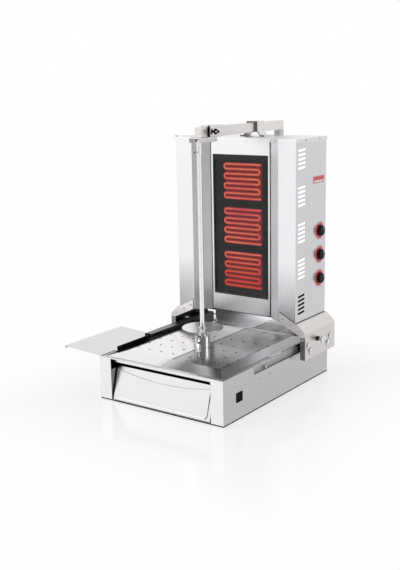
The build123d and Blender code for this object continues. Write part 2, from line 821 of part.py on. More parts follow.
# Axle bolts with domed heads
with BuildPart() as bracket_bolts:
    for side in (-1, 1):
        with BuildSketch(facing_right(side * axle_inner)):
            with Locations(*axle_places):
                RegularPolygon(axle_radius, 12)
        extrude(amount=side * (bracket_outer + 1 - axle_inner))
        with BuildSketch(facing_right(side * bracket_outer)):
            with Locations(*axle_places):
                RegularPolygon(7.5, 12)
        extrude(amount=side * 4.5, taper=25)
save(bracket_bolts, "bracket_bolts")

# Glide bushes on the upper axles run under the rail flange
with BuildPart() as glide_bushes:
    for side in (-1, 1):
        with BuildSketch(facing_right(side * bush_inner)):
            with Locations(*[(y, upper_axle_z) for y in upper_axles]):
                RegularPolygon(roller_radius, 20)
                RegularPolygon(axle_radius + running_clearance, 12, major_radius=False,
                               mode=Mode.SUBTRACT)
        extrude(amount=side * (bracket_outer - bracket_sheet - bush_inner))
save(glide_bushes, "glide_bushes")

# Grooved rollers on the lower axles run on the edge of the side wall
for side_name, side in (("left", -1), ("right", 1)):
    for place, y in zip(("front", "rear"), lower_axles):
        with BuildPart() as roller:
            wall_middle = base_half - sheet / 2
            for start, end, radius in ((bush_inner + 0.5, wall_middle - 2, roller_radius),
                                       (wall_middle - 2, wall_middle + 2, roller_groove),
                                       (wall_middle + 2, wall_middle + 7.8, roller_radius)):
                with BuildSketch(facing_right(side * start)):
                    with Locations((y, lower_axle_z)):
                        RegularPolygon(radius, 20)
                extrude(amount=side * (end - start))
            with BuildSketch(facing_right(side * bush_inner)):
                with Locations((y, lower_axle_z)):
                    Circle(axle_radius + running_clearance)
            extrude(amount=side * 20, mode=Mode.SUBTRACT)
        save(roller, f"roller_{side_name}_{place}")

# Locking screws through the brackets, aimed at the rail teeth
for name, side in (("lock_screw_left", -1), ("lock_screw_right", 1)):
    with BuildPart() as lock_screw:
        tip, head = rail_outer + 5, outline_right - 6
        with BuildSketch(facing_right(side * (rail_outer + 0.6))):
            with Locations((lock_y, lock_z)):
                RegularPolygon(2.5, 8)
        extrude(amount=side * (tip - rail_outer - 0.6))
        with BuildSketch(facing_right(side * tip)):
            with Locations((lock_y, lock_z)):
                Circle(axle_radius)
        extrude(amount=side * (head - tip))
        with BuildSketch(facing_right(side * head)):
            with Locations((lock_y, lock_z)):
                RegularPolygon(11, 20)
        extrude(amount=side * (outline_right - head))
    save(lock_screw, name)

# Saddle on the lid that guides the column along the arm
with BuildPart() as saddle:
    with BuildSketch(facing_front(column_front + saddle_setback)):
        foot_z = column_top + lid_height
        web = slider_half + 0.5
        bent_sheet([(-saddle_foot, foot_z + 3), (-saddle_spread, foot_z + 3), (-web, foot_z + 16),
                    (-web, arm_top + 5), (web, arm_top + 5), (web, foot_z + 16),
                    (saddle_spread, foot_z + 3), (saddle_foot, foot_z + 3)], 3, Side.RIGHT)
    extrude(amount=-saddle_length)
save(saddle, "saddle")

# Arm, mast and the clevis that bolts the mast to the back wall
with BuildPart() as arm:
    with BuildSketch(facing_front(arm_front)):
        with Locations((0, (arm_bottom + arm_top) / 2)):
            Rectangle(2 * arm_half, arm_top - arm_bottom)
            Rectangle(2 * (arm_half - tube_wall), arm_top - arm_bottom - 2 * tube_wall,
                      mode=Mode.SUBTRACT)
    extrude(amount=-(mast_back - arm_front))
    slab(-arm_half, arm_half, arm_front, arm_front + tube_wall, arm_bottom, arm_top)
    slab(-arm_half, arm_half, mast_back - tube_wall, mast_back, arm_bottom, arm_top)
save(arm, "arm")

with BuildPart() as mast:
    with BuildSketch(Plane.XY.offset(mast_bottom)):
        with Locations((0, (mast_front + mast_back) / 2)):
            Rectangle(2 * arm_half, mast_back - mast_front)
            Rectangle(2 * (arm_half - tube_wall), mast_back - mast_front - 2 * tube_wall,
                      mode=Mode.SUBTRACT)
    extrude(amount=arm_bottom - mast_bottom)
save(mast, "mast")

with BuildPart() as mast_foot:
    cheek_bottom, cheek_top = clevis_bottom + 17, clevis_top - 12
    slab(-clevis_half, clevis_half, base_depth, base_depth + clevis_sheet, clevis_bottom, clevis_top)
    for side in (-1, 1):
        cheek = sorted((side * arm_half, side * (arm_half + clevis_sheet)))
        slab(*cheek, base_depth + clevis_sheet, outline_back, cheek_bottom, cheek_top)
    slab(-arm_half - clevis_sheet, arm_half + clevis_sheet, base_depth + clevis_sheet, mast_front - 8,
         cheek_bottom, cheek_bottom + clevis_sheet)
save(mast_foot, "mast_foot")

with BuildPart() as mast_bolts:
    for side in (-1, 1):
        with BuildSketch(facing_right(side * (arm_half + clevis_sheet))):
            mast_y = (mast_front + mast_back) / 2
            with Locations((mast_y, cheek_bottom + 20), (mast_y, cheek_top - 20)):
                RegularPolygon(7, 6)
        extrude(amount=side * 5)
    with BuildSketch(facing_front(base_depth + clevis_sheet)):
        with Locations((0, (clevis_bottom + clevis_top) / 2)):
            with GridLocations(2 * (clevis_half - 14), clevis_top - clevis_bottom - 28, 2, 2):
                RegularPolygon(7, 6)
    extrude(amount=-5)
save(mast_bolts, "mast_bolts")

# Top slider on the arm, with the holder that steadies the spit's upper end
with BuildPart() as top_slider:
    slab(-slider_half, slider_half, slider_front, slider_back, arm_bottom - 0.4, arm_top + 4.5)
    slab(-arm_half - 0.4, arm_half + 0.4, slider_front - 1, slider_back + 1,
         arm_bottom - 1, arm_top + 0.4, mode=Mode.SUBTRACT)
    with BuildSketch(facing_right(arm_half)):
        with Locations((thumb_y, thumb_z)):
            Circle(axle_radius + running_clearance)
    extrude(amount=10, mode=Mode.SUBTRACT)
save(top_slider, "top_slider")

holder_top = arm_bottom - 0.4
with BuildPart() as spit_holder:
    cheek = slider_half - 1
    inner = cheek - 2.5
    slab(-cheek, cheek, holder_front, holder_back, holder_bottom, holder_top)
    slab(-inner, inner, holder_front - 1, holder_back + 1, holder_bottom - 1, holder_top - 2.5,
         mode=Mode.SUBTRACT)
    # Bearing block with a slot open to the front
    slab(-inner, inner, spit_y - 13, spit_y + 29, holder_bottom + 1.5, holder_top - 2.5)
    slot_half = spit_radius + 0.4
    slab(-slot_half, slot_half, 200, spit_y, holder_bottom - 5, spit_top + 1.8,
         mode=Mode.SUBTRACT)
    with Locations((0, spit_y, holder_bottom - 5)):
        Cylinder(slot_half, spit_top + 1.8 - holder_bottom + 5, mode=Mode.SUBTRACT,
                 align=(Align.CENTER, Align.CENTER, Align.MIN))
save(spit_holder, "spit_holder")

with BuildPart() as thumb_screw:
    head_x = slider_half + 6
    with BuildSketch(facing_right(arm_half + 0.7)):
        with Locations((thumb_y, thumb_z)):
            Circle(axle_radius)
    extrude(amount=head_x - arm_half - 0.7)
    with BuildSketch(facing_right(head_x)):
        with Locations((thumb_y, thumb_z)):
            RegularPolygon(9, 12)
    extrude(amount=15)
save(thumb_screw, "thumb_screw")

# Heat controls on the right side panel
with BuildPart() as dial_plates:
    with BuildSketch(facing_right(column_half)):
        with Locations(*[(knob_y, z) for z in knob_heights]):
            RegularPolygon(dial_radius, 36)
            RegularPolygon(6, 12, mode=Mode.SUBTRACT)
    extrude(amount=1)
save(dial_plates, "dial_plates")

with BuildPart() as regulators:
    for z in knob_heights:
        slab(column_half - regulator_depth, column_half - sheet, knob_y - regulator_half_width,
             knob_y + regulator_half_width, z - regulator_half_height, z + regulator_half_height)
save(regulators, "regulators")

for number, z in enumerate(knob_heights, start=1):
    with BuildPart() as knob:
        with BuildSketch(facing_right(column_half + 1.6)):
            with Locations((knob_y, z)):
                RegularPolygon(knob_radius, 24)
        extrude(amount=knob_height, taper=8)
        # Low grip across the face
        with BuildSketch(facing_right(column_half + 1.6 + knob_height - 0.5)):
            with Locations((knob_y, z)):
                Rectangle(8, 1.7 * knob_radius)
        extrude(amount=5, taper=12)
        # Shaft through the panel to the regulator
        with BuildSketch(facing_right(column_half - sheet + 0.4)):
            with Locations((knob_y, z)):
                Circle(3)
        extrude(amount=3)
    save(knob, f"knob_{number}")

with BuildPart() as side_plate:
    slab(column_half, column_half + 1, plate_front, plate_back, plate_bottom, plate_top)
save(side_plate, "side_plate")

# Rocker switch near the front of the right wall
with BuildPart() as switch_bezel:
    slab(base_half, base_half + 2, switch_y - 16, switch_y + 16, switch_z - 20, switch_z + 20)
    slab(base_half - 18, base_half, switch_y - 12.5, switch_y + 12.5,
         switch_z - 12.9, switch_z + 12.9)
    slab(base_half - 12, base_half + 3, switch_y - 10.5, switch_y + 10.5,
         switch_z - 12, switch_z + 12, mode=Mode.SUBTRACT)
save(switch_bezel, "switch_bezel")

with BuildPart() as rocker:
    with BuildSketch(facing_front(switch_y - 10)):
        outline([(base_half + 3.5, switch_z + 9.6), (base_half + 0.5, switch_z),
                 (base_half + 1.5, switch_z - 9.6), (base_half - 8, switch_z - 7),
                 (base_half - 8, switch_z + 7)])
    extrude(amount=-20)
    # Pivot stubs at both ends
    with BuildSketch(facing_front(switch_y - 10.4)):
        with Locations((base_half - 5, switch_z)):
            Circle(2)
    extrude(amount=-20.8)
save(rocker, "rocker")

with BuildPart() as cable_gland:
    with BuildSketch(facing_front(base_depth - 12)):
        with Locations((gland_x, gland_z)):
            RegularPolygon(gland_radius - 0.1, 24)
    extrude(amount=-12)
    with BuildSketch(facing_front(base_depth)):
        with Locations((gland_x, gland_z)):
            RegularPolygon(gland_radius + 4, 6)
    extrude(amount=-7)
    with BuildSketch(facing_front(base_depth + 7)):
        with Locations((gland_x, gland_z)):
            RegularPolygon(gland_radius, 24)
    extrude(amount=-12)
    with BuildSketch(facing_front(base_depth - 13)):
        with Locations((gland_x, gland_z)):
            Circle(gland_radius - 6)
    extrude(amount=-40, mode=Mode.SUBTRACT)
save(cable_gland, "cable_gland")
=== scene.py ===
"""Dresses the electric doner kebab grill: finishes, small pieces, light and camera."""

import json
import math

import bmesh
import bpy
from mathutils import Matrix, Vector

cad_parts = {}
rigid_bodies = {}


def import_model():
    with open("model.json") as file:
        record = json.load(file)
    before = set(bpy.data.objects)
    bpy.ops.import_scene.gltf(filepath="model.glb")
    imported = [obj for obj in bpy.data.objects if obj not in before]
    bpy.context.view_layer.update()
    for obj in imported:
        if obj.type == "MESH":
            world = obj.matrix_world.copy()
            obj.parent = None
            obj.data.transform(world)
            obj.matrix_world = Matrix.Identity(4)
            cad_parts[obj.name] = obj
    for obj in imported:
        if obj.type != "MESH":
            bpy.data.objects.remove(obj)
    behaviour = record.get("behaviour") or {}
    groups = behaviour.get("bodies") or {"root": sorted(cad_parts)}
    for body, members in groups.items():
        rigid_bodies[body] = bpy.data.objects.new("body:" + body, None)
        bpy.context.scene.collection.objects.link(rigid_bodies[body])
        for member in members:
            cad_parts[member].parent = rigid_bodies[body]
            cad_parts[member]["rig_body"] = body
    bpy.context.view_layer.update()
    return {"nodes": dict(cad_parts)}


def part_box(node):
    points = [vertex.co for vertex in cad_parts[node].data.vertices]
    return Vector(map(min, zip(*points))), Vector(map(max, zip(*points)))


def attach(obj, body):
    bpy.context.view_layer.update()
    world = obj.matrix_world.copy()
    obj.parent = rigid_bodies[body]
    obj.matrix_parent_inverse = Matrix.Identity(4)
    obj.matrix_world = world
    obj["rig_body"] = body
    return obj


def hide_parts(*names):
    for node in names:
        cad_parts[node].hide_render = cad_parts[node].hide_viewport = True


bl_info = {
    "name": "Electric doner kebab grill",
    "version": (1, 0, 0),
    "blender": (4, 5, 0),
    "location": "View3D > Sidebar > Grill",
    "description": "Finishes and small pieces of a countertop grill with an upright spit",
    "category": "Object",
}

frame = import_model()
nodes = frame["nodes"]


# Places

MM = 0.001
X, Y, Z = Vector((1, 0, 0)), Vector((0, 1, 0)), Vector((0, 0, 1))
ORIGIN = Vector((0, 0, 0))
casing_low, casing_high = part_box("base_casing")
spit_plane = (casing_low.x + casing_high.x) / 2
front_face = casing_low.y


def at(x, y, z):
    """A point given in mm from the spit's plane, the base's front face and the worktop."""
    return Vector((spit_plane + x * MM, front_face + y * MM, z * MM))


def middle(name):
    """A node's middle."""
    low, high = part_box(name)
    return (low + high) / 2


def in_mm(point):
    """The reverse of at."""
    return Vector(((point.x - spit_plane) / MM, (point.y - front_face) / MM, point.z / MM))


def span(name):
    """A node's lowest and highest corners in mm."""
    return [in_mm(corner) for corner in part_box(name)]


base_half, base_depth, base_top = span("base_casing")[1]
column_front, column_bottom = span("side_panel_right")[0].yz
column_half, column_back, column_top = span("side_panel_right")[1]
bracket_low, bracket_high = span("bracket_right")
panel_low, panel_high = span("front_panel")
glass_low, glass_high = span("ceramic_glass")
spit_y = in_mm(middle("spit_rod")).y
KNOBS = ("knob_1", "knob_2", "knob_3")
ELEMENT_SHIFT = 4


# Settings


class GrillFinishes(bpy.types.PropertyGroup):
    """Colours and polish of the grill's surfaces."""

    steel: bpy.props.FloatVectorProperty(
        name="Steel", description="Colour of the brushed sheets", subtype="COLOR",
        size=3, min=0, max=1, default=(0.72, 0.72, 0.735),
    )
    polish: bpy.props.FloatVectorProperty(
        name="Polished steel", description="Colour of the trays and the deck",
        subtype="COLOR", size=3, min=0, max=1, default=(0.84, 0.835, 0.85),
    )
    bars: bpy.props.FloatVectorProperty(
        name="Bars", description="Colour of the arm, the mast and the rails",
        subtype="COLOR", size=3, min=0, max=1, default=(0.62, 0.60, 0.59),
    )
    glow: bpy.props.FloatVectorProperty(
        name="Glow", description="Colour of the hot elements", subtype="COLOR",
        size=3, min=0, max=1, default=(1.0, 0.055, 0.035),
    )
    heat: bpy.props.FloatProperty(
        name="Heat", description="How brightly the elements glow", default=2.0,
        min=0, max=20,
    )
    red: bpy.props.FloatVectorProperty(
        name="Plate red", description="Colour of the dials and the side plate",
        subtype="COLOR", size=3, min=0, max=1, default=(0.66, 0.018, 0.03),
    )
    black: bpy.props.FloatVectorProperty(
        name="Knob black", description="Colour of the knobs and the switch",
        subtype="COLOR", size=3, min=0, max=1, default=(0.010, 0.010, 0.011),
    )


class GrillSizes(bpy.types.PropertyGroup):
    """Sizes of the small pieces."""

    screw_radius: bpy.props.FloatProperty(
        name="Screw radius", description="Radius of the small screw heads",
        default=0.0034, min=0.001, max=0.01, unit="LENGTH",
    )
    dome_radius: bpy.props.FloatProperty(
        name="Dome radius", description="Radius of the domed heads on the axle bolts",
        default=0.0084, min=0.007, max=0.015, unit="LENGTH",
    )
    sheet_edge: bpy.props.FloatProperty(
        name="Sheet edge", description="How far the edges of the sheets are broken",
        default=0.0005, min=0.0001, max=0.002, unit="LENGTH",
    )
    element_bar: bpy.props.FloatProperty(
        name="Element bar", description="Height of the elements' flat bar",
        default=0.0098, min=0.003, max=0.012, unit="LENGTH",
    )


class GrillStage(bpy.types.PropertyGroup):
    """Floor, backdrop and lamps."""

    floor: bpy.props.FloatVectorProperty(
        name="Floor", description="Colour of the floor", subtype="COLOR", size=3,
        min=0, max=1, default=(0.93, 0.93, 0.935),
    )
    white: bpy.props.FloatProperty(
        name="White share", description="Share of plain white in the floor",
        default=0.66, min=0, max=1, subtype="FACTOR",
    )
    key: bpy.props.FloatProperty(
        name="Key lamp", description="Power of the lamp at the front left",
        default=34, min=0, max=500, unit="POWER",
    )
    fill: bpy.props.FloatProperty(
        name="Fill lamp", description="Power of the lamp at the right", default=14,
        min=0, max=500, unit="POWER",
    )
    room: bpy.props.FloatProperty(
        name="Room light", description="Strength of the light from the backdrop",
        default=1.0, min=0, max=5,
    )


# Nodes


class Amount:
    """A socket's value; arithmetic on it adds Math nodes."""

    def __init__(self, finish, socket):
        self.finish = finish
        self.socket = socket

    def math(self, operation, first, second=0.0):
        """One Math node."""
        return self.finish.node(
            "ShaderNodeMath", {"operation": operation}, {0: first, 1: second}
        )

    def __add__(self, other):
        return self.math("ADD", self, other)

    def __radd__(self, other):
        return self.math("ADD", other, self)

    def __sub__(self, other):
        return self.math("SUBTRACT", self, other)

    def __rsub__(self, other):
        return self.math("SUBTRACT", other, self)

    def __mul__(self, other):
        return self.math("MULTIPLY", self, other)

    def __rmul__(self, other):
        return self.math("MULTIPLY", other, self)

    def __truediv__(self, other):
        return self.math("DIVIDE", self, other)

    def __lt__(self, other):
        return self.math("LESS_THAN", self, other)

    def size(self):
        """The amount without its sign."""
        return self.math("ABSOLUTE", self)

    def most(self, other):
        """The larger of two amounts."""
        return self.math("MAXIMUM", self, other)


class Nodes:
    """A node tree that is written as expressions."""

    def __init__(self, tree):
        self.tree = tree
        self.tree.nodes.clear()

    def node(self, kind, settings=None, sockets=None, out=0):
        """Add a node: its settings first, then the values or links of its sockets."""
        made = self.tree.nodes.new(kind)
        for name, value in (settings or {}).items():
            setattr(made, name, value)
        for name, value in (sockets or {}).items():
            socket = made.inputs[name]
            if isinstance(value, Amount):
                self.tree.links.new(value.socket, socket)
            elif hasattr(value, "__len__") and len(value) == 3 and socket.type == "RGBA":
                socket.default_value = (*value, 1)
            else:
                socket.default_value = value
        return None if out is None else Amount(self, made.outputs[out])

    def axes(self, vector):
        """The three parts of a vector."""
        first = self.node("ShaderNodeSeparateXYZ", {}, {0: vector})
        return [Amount(self, socket) for socket in first.socket.node.outputs]

    def clamp(self, value, low, high, to_low=0.0, to_high=1.0):
        """Carry a value from one range to another and hold it at the ends."""
        return self.node(
            "ShaderNodeMapRange", {"clamp": True},
            {"Value": value, "From Min": low, "From Max": high, "To Min": to_low,
             "To Max": to_high},
        )

    def mix(self, share, first, second):
        """A colour between two, nearer the second as the share grows."""
        return self.node(
            "ShaderNodeMix", {"data_type": "RGBA"}, {0: share, 6: first, 7: second}, out=2
        )


# How the grain is drawn out along each axis
BRUSH = {"x": (0.02, 1, 1), "y": (1, 0.02, 1), "z": (1, 1, 0.02)}


class Finish(Nodes):
    """A material that is put together from nodes."""

    def __init__(self, name):
        self.material = bpy.data.materials.new(name)
        self.material.use_nodes = True
        super().__init__(self.material.node_tree)
        self.place = self.node("ShaderNodeTexCoord", out="Object")

    def noise(self, scale, detail=2.0, stretch=(1, 1, 1), roughness=0.5):
        """Noise from 0 to 1, fixed to the piece and drawn out where stretch is small."""
        place = self.node("ShaderNodeMapping", {}, {"Vector": self.place, "Scale": stretch})
        return self.node(
            "ShaderNodeTexNoise", {},
            {"Vector": place, "Scale": scale, "Detail": detail, "Roughness": roughness},
            out="Fac",
        )

    def cloud(self):
        """Soft large patches."""
        return self.clamp(self.noise(4.5, 3, roughness=0.55), 0.35, 0.75)

    def grain(self, along):
        """The fine brushed grain."""
        return self.noise(1800, 3, BRUSH[along], 0.6)

    def bump(self, height, distance, strength):
        """A normal from a height, with its full depth in metres."""
        return self.node(
            "ShaderNodeBump", {},
            {"Height": height, "Distance": distance, "Strength": strength},
        )

    def principled(self, **sockets):
        """The main shader, its sockets named with _ for a space."""
        named = {name.replace("_", " "): value for name, value in sockets.items()}
        return self.node("ShaderNodeBsdfPrincipled", {}, named)

    def output(self, shader):
        """Finish the material with a shader."""
        self.node("ShaderNodeOutputMaterial", {}, {"Surface": shader}, out=None)
        return self.material

    def surface(self, **sockets):
        """Finish the material with the main shader."""
        return self.output(self.principled(**sockets))

    def metal(self, colour, rough, normal):
        """Finish the material as bare metal."""
        return self.surface(
            Base_Color=colour, Metallic=1.0, Roughness=rough, Normal=normal)


# Materials


def shade(colour, factor):
    """A colour made darker or brighter."""
    return tuple(min(1.0, c * factor) for c in colour)


def brushed(name, colour, along, roughness=0.3, contrast=0.03, stain=0.1):
    """Sheet steel with a fine brushed grain, faint smears and rubbed patches."""
    f = Finish(name)
    fine = f.grain(along)
    coarse = f.noise(260, 3, BRUSH[along], 0.65)
    cloud = f.cloud()
    streak = f.clamp(coarse, 0.3, 0.7)
    base = f.mix(streak, shade(colour, 1 - contrast), shade(colour, 1 + contrast))
    base = f.mix(cloud * stain, base, shade(colour, 0.72))
    rough = roughness + (fine - 0.5) * 0.1 + (cloud - 0.5) * 0.05
    normal = f.bump(fine * 0.6 + coarse * 0.4, 0.00002, 0.3)
    return f.metal(base, rough, normal)


TRAY_CREASE, PAINTED_STREAKS_FROM = 72, 395


def tray_skin(name, colour):
    """Brushed trays: clean on the left; on the right a painted dark reflection, darker on the front
    slope, with painted reflected streaks at the rear.
    """
    f = Finish(name)
    x, y = f.axes(f.place)[:2]
    fine = f.grain("y")
    streak = f.noise(16, 3, (1, 0.22, 1), 0.6)
    cloud = f.cloud()
    on_slope = f.clamp(y - at(0, TRAY_CREASE, 0).y, -0.002, 0.002, 1.0, 0.0)
    edge = x - at(0, 0, 0).x
    sharp = f.clamp(edge, -0.001, 0.001)
    gentle = f.clamp(edge, -0.030, 0.060)
    share = sharp * (1 - on_slope) + gentle * on_slope
    base = f.mix(fine, shade(colour, 0.98), shade(colour, 1.02))
    # Painted dark reflection right of the spit's plane, darker still on the front slope.
    film_and_painted_shade = f.mix(f.clamp(streak, 0.35, 0.7), shade(colour, 0.40), shade(colour, 0.56))
    film_and_painted_shade = f.mix(on_slope, film_and_painted_shade, shade(colour, 0.2))
    base = f.mix(share, base, film_and_painted_shade)
    # Painted dark streaks of reflection at the rear right.
    painted_streaks = f.clamp(f.noise(17, 1, (1, 0.14, 1), 0.5), 0.48, 0.6)
    rear = f.clamp(y - at(0, PAINTED_STREAKS_FROM, 0).y, 0.0, 0.05) * f.clamp(edge, 0.05, 0.09)
    base = f.mix(painted_streaks * rear * 0.7, base, shade(colour, 0.12))
    rough = 0.17 + (fine - 0.5) * 0.08 + cloud * 0.04
    normal = f.bump(fine, 0.00001, 0.3)
    return f.metal(base, rough, normal)


def ramped(name, colour, along, low, high, bottom, top, roughness=0.3, axis=2):
    """Brushed sheet whose colour changes between two places along an axis."""
    f = Finish(name)
    level = f.axes(f.place)[axis]
    fine = f.grain(along)
    coarse = f.noise(220, 3, BRUSH[along], 0.65)
    share = f.clamp(level + (coarse - 0.5) * 0.004, low, high)
    first = f.mix(coarse, shade(colour, bottom * 0.97), shade(colour, bottom * 1.03))
    last = f.mix(coarse, shade(colour, top * 0.99), shade(colour, top * 1.01))
    rough = roughness + (fine - 0.5) * 0.1
    return f.metal(f.mix(share, first, last), rough, f.bump(fine, 0.00002, 0.3))


def polished(name, colour, roughness):
    """Rolled steel with a soft mirror, gentle waves, a thin film and fine scratches."""
    f = Finish(name)
    scratch = f.noise(900, 2, (1, 0.04, 1), 0.7)
    cross = f.noise(700, 2, (0.05, 1, 1), 0.7)
    sway = f.noise(7, 2, roughness=0.4)
    dull = f.noise(13, 4, (1, 0.45, 1), 0.6)
    lines = f.clamp(scratch, 0.62, 0.75) + f.clamp(cross, 0.66, 0.78)
    film_and_painted_shade = f.clamp(dull, 0.42, 0.75)
    base = f.mix(film_and_painted_shade * 0.5, colour, shade(colour, 0.8))
    rough = roughness + film_and_painted_shade * 0.09 + lines * 0.05
    normal = f.bump(sway + lines * 0.02, 0.0004, 0.5)
    return f.metal(base, rough, normal)


def bright(name, colour, roughness):
    """Turned and plated metal with faint rings of tooling."""
    f = Finish(name)
    rings = f.noise(1200, 2, (0.05, 0.05, 1), 0.6)
    film_and_painted_shade = f.clamp(f.noise(60, 3), 0.4, 0.7)
    base = f.mix(film_and_painted_shade * 0.3, colour, shade(colour, 0.82))
    rough = roughness + rings * 0.05 + film_and_painted_shade * 0.07
    normal = f.bump(rings, 0.00002, 0.3)
    return f.metal(base, rough, normal)


def cast(name, colour, roughness=0.55, metallic=0.9):
    """A blasted or cast skin with fine pits."""
    f = Finish(name)
    pits = f.noise(900, 3, roughness=0.7)
    patch = f.clamp(f.noise(40, 3), 0.35, 0.7)
    base = f.mix(patch, shade(colour, 0.85), shade(colour, 1.08))
    rough = roughness + (pits - 0.5) * 0.25
    return f.surface(
        Base_Color=base, Metallic=metallic, Roughness=rough,
        Normal=f.bump(pits, 0.00015, 0.5),
    )


def moulded(name, colour, roughness, coat, grain, gloss=0.5):
    """Moulded plastic or rubber with a fine leathered skin and rubbed spots."""
    f = Finish(name)
    pebble = f.noise(1500)
    rubbed = f.clamp(f.noise(55, 4), 0.5, 0.78)
    base = f.mix(rubbed * 0.4, colour, tuple(c * 0.8 + 0.012 for c in colour))
    rough = roughness + (pebble - 0.5) * 0.12 + rubbed * 0.1
    return f.surface(
        Base_Color=base, Roughness=rough, Normal=f.bump(pebble, grain, 0.5),
        Coat_Weight=coat, Coat_Roughness=0.08, Specular_IOR_Level=gloss,
    )


LOWEST_ZONE = (0.335, 0.43)


def heated(name, colour, hottest, heat):
    """A hot flat element, flecked and drifting between reds, deeper in its lowest zone."""
    f = Finish(name)
    drift = f.noise(11)
    fleck = f.noise(150, 3, (0.35, 1, 1), 0.6)
    hot = f.clamp(drift * 0.7 + fleck * 0.45, 0.42, 0.75)
    pink = f.clamp(f.noise(6, 1, roughness=0.4), 0.45, 0.62)
    cooler = f.mix(pink, shade(colour, 0.72), (0.80, 0.045, 0.11))
    lowest = f.clamp(f.axes(f.place)[2], *LOWEST_ZONE, 0.72, 0.0)
    glow = f.mix(lowest, f.mix(hot, cooler, hottest), (0.78, 0.012, 0.014))
    return f.surface(
        Base_Color=f.mix(fleck, (0.35, 0.05, 0.03), (0.5, 0.09, 0.05)),
        Roughness=0.7 + fleck * 0.1, Emission_Color=glow, Emission_Strength=heat,
        Normal=f.bump(fleck, 0.0002, 0.5),
    )


def dark_glass(name):
    """Black glass ceramic that lets the red heat through."""
    f = Finish(name)
    film_and_painted_shade = f.clamp(f.noise(9, 4, roughness=0.6), 0.4, 0.75)
    return f.surface(
        Base_Color=f.mix(film_and_painted_shade, (0.008, 0.008, 0.0085), (0.011, 0.011, 0.0115)),
        Roughness=0.05 + film_and_painted_shade * 0.02, Alpha=0.5 + film_and_painted_shade * 0.01, IOR=1.5,
        Coat_Weight=0.2, Coat_Roughness=0.03,
    )


ZONE_PITCH = 152
BOARD_FRONT = 492


def scorched(name, heat):
    """Fibre board round the elements, dark with use, with painted dull red light from them in
    front.
    """
    f = Finish(name)
    x, y, z = f.axes(f.place)
    fibre = f.noise(420, 4, (1, 0.3, 1), 0.7)
    centre = in_mm(middle("heating_elements"))
    across = f.clamp((x - at(centre.x - ELEMENT_SHIFT, 0, 0).x).size(), 0.068, 0.075, 1.0, 0.0)
    pitch = ZONE_PITCH * MM
    level = (z - centre.z * MM).size()
    zone = f.node("ShaderNodeMath", {"operation": "PINGPONG"}, {0: level + pitch / 2, 1: pitch})
    up = f.clamp((zone - pitch / 2).size(), 0.057, 0.061, 1.0, 0.0)
    front = y < at(0, BOARD_FRONT, 0).y
    base = f.mix(fibre, (0.008, 0.008, 0.008), (0.0095, 0.0095, 0.0095))
    # Painted red light from the elements on the board's front.
    glow = f.mix(across * up * front, (0, 0, 0), (0.30 * heat, 0.004 * heat, 0.004 * heat))
    return f.surface(
        Base_Color=base, Roughness=0.9 + fibre * 0.05, Emission_Color=glow,
        Emission_Strength=0.95, Normal=f.bump(fibre, 0.00002, 0.2),
    )


def painted_light_liner(name, strength, tone=1.0):
    """Pale sheet behind the slots and under the column, with a painted glow of its own."""
    f = Finish(name)
    cloud = f.noise(30, 3)
    base = f.mix(cloud, shade((0.93, 0.93, 0.93), tone), shade((0.98, 0.98, 0.98), tone))
    return f.surface(
        Base_Color=base, Roughness=0.45 + cloud * 0.1, Emission_Color=(1, 1, 1),
        Emission_Strength=strength, Normal=f.bump(cloud, 0.0002, 0.3),
    )


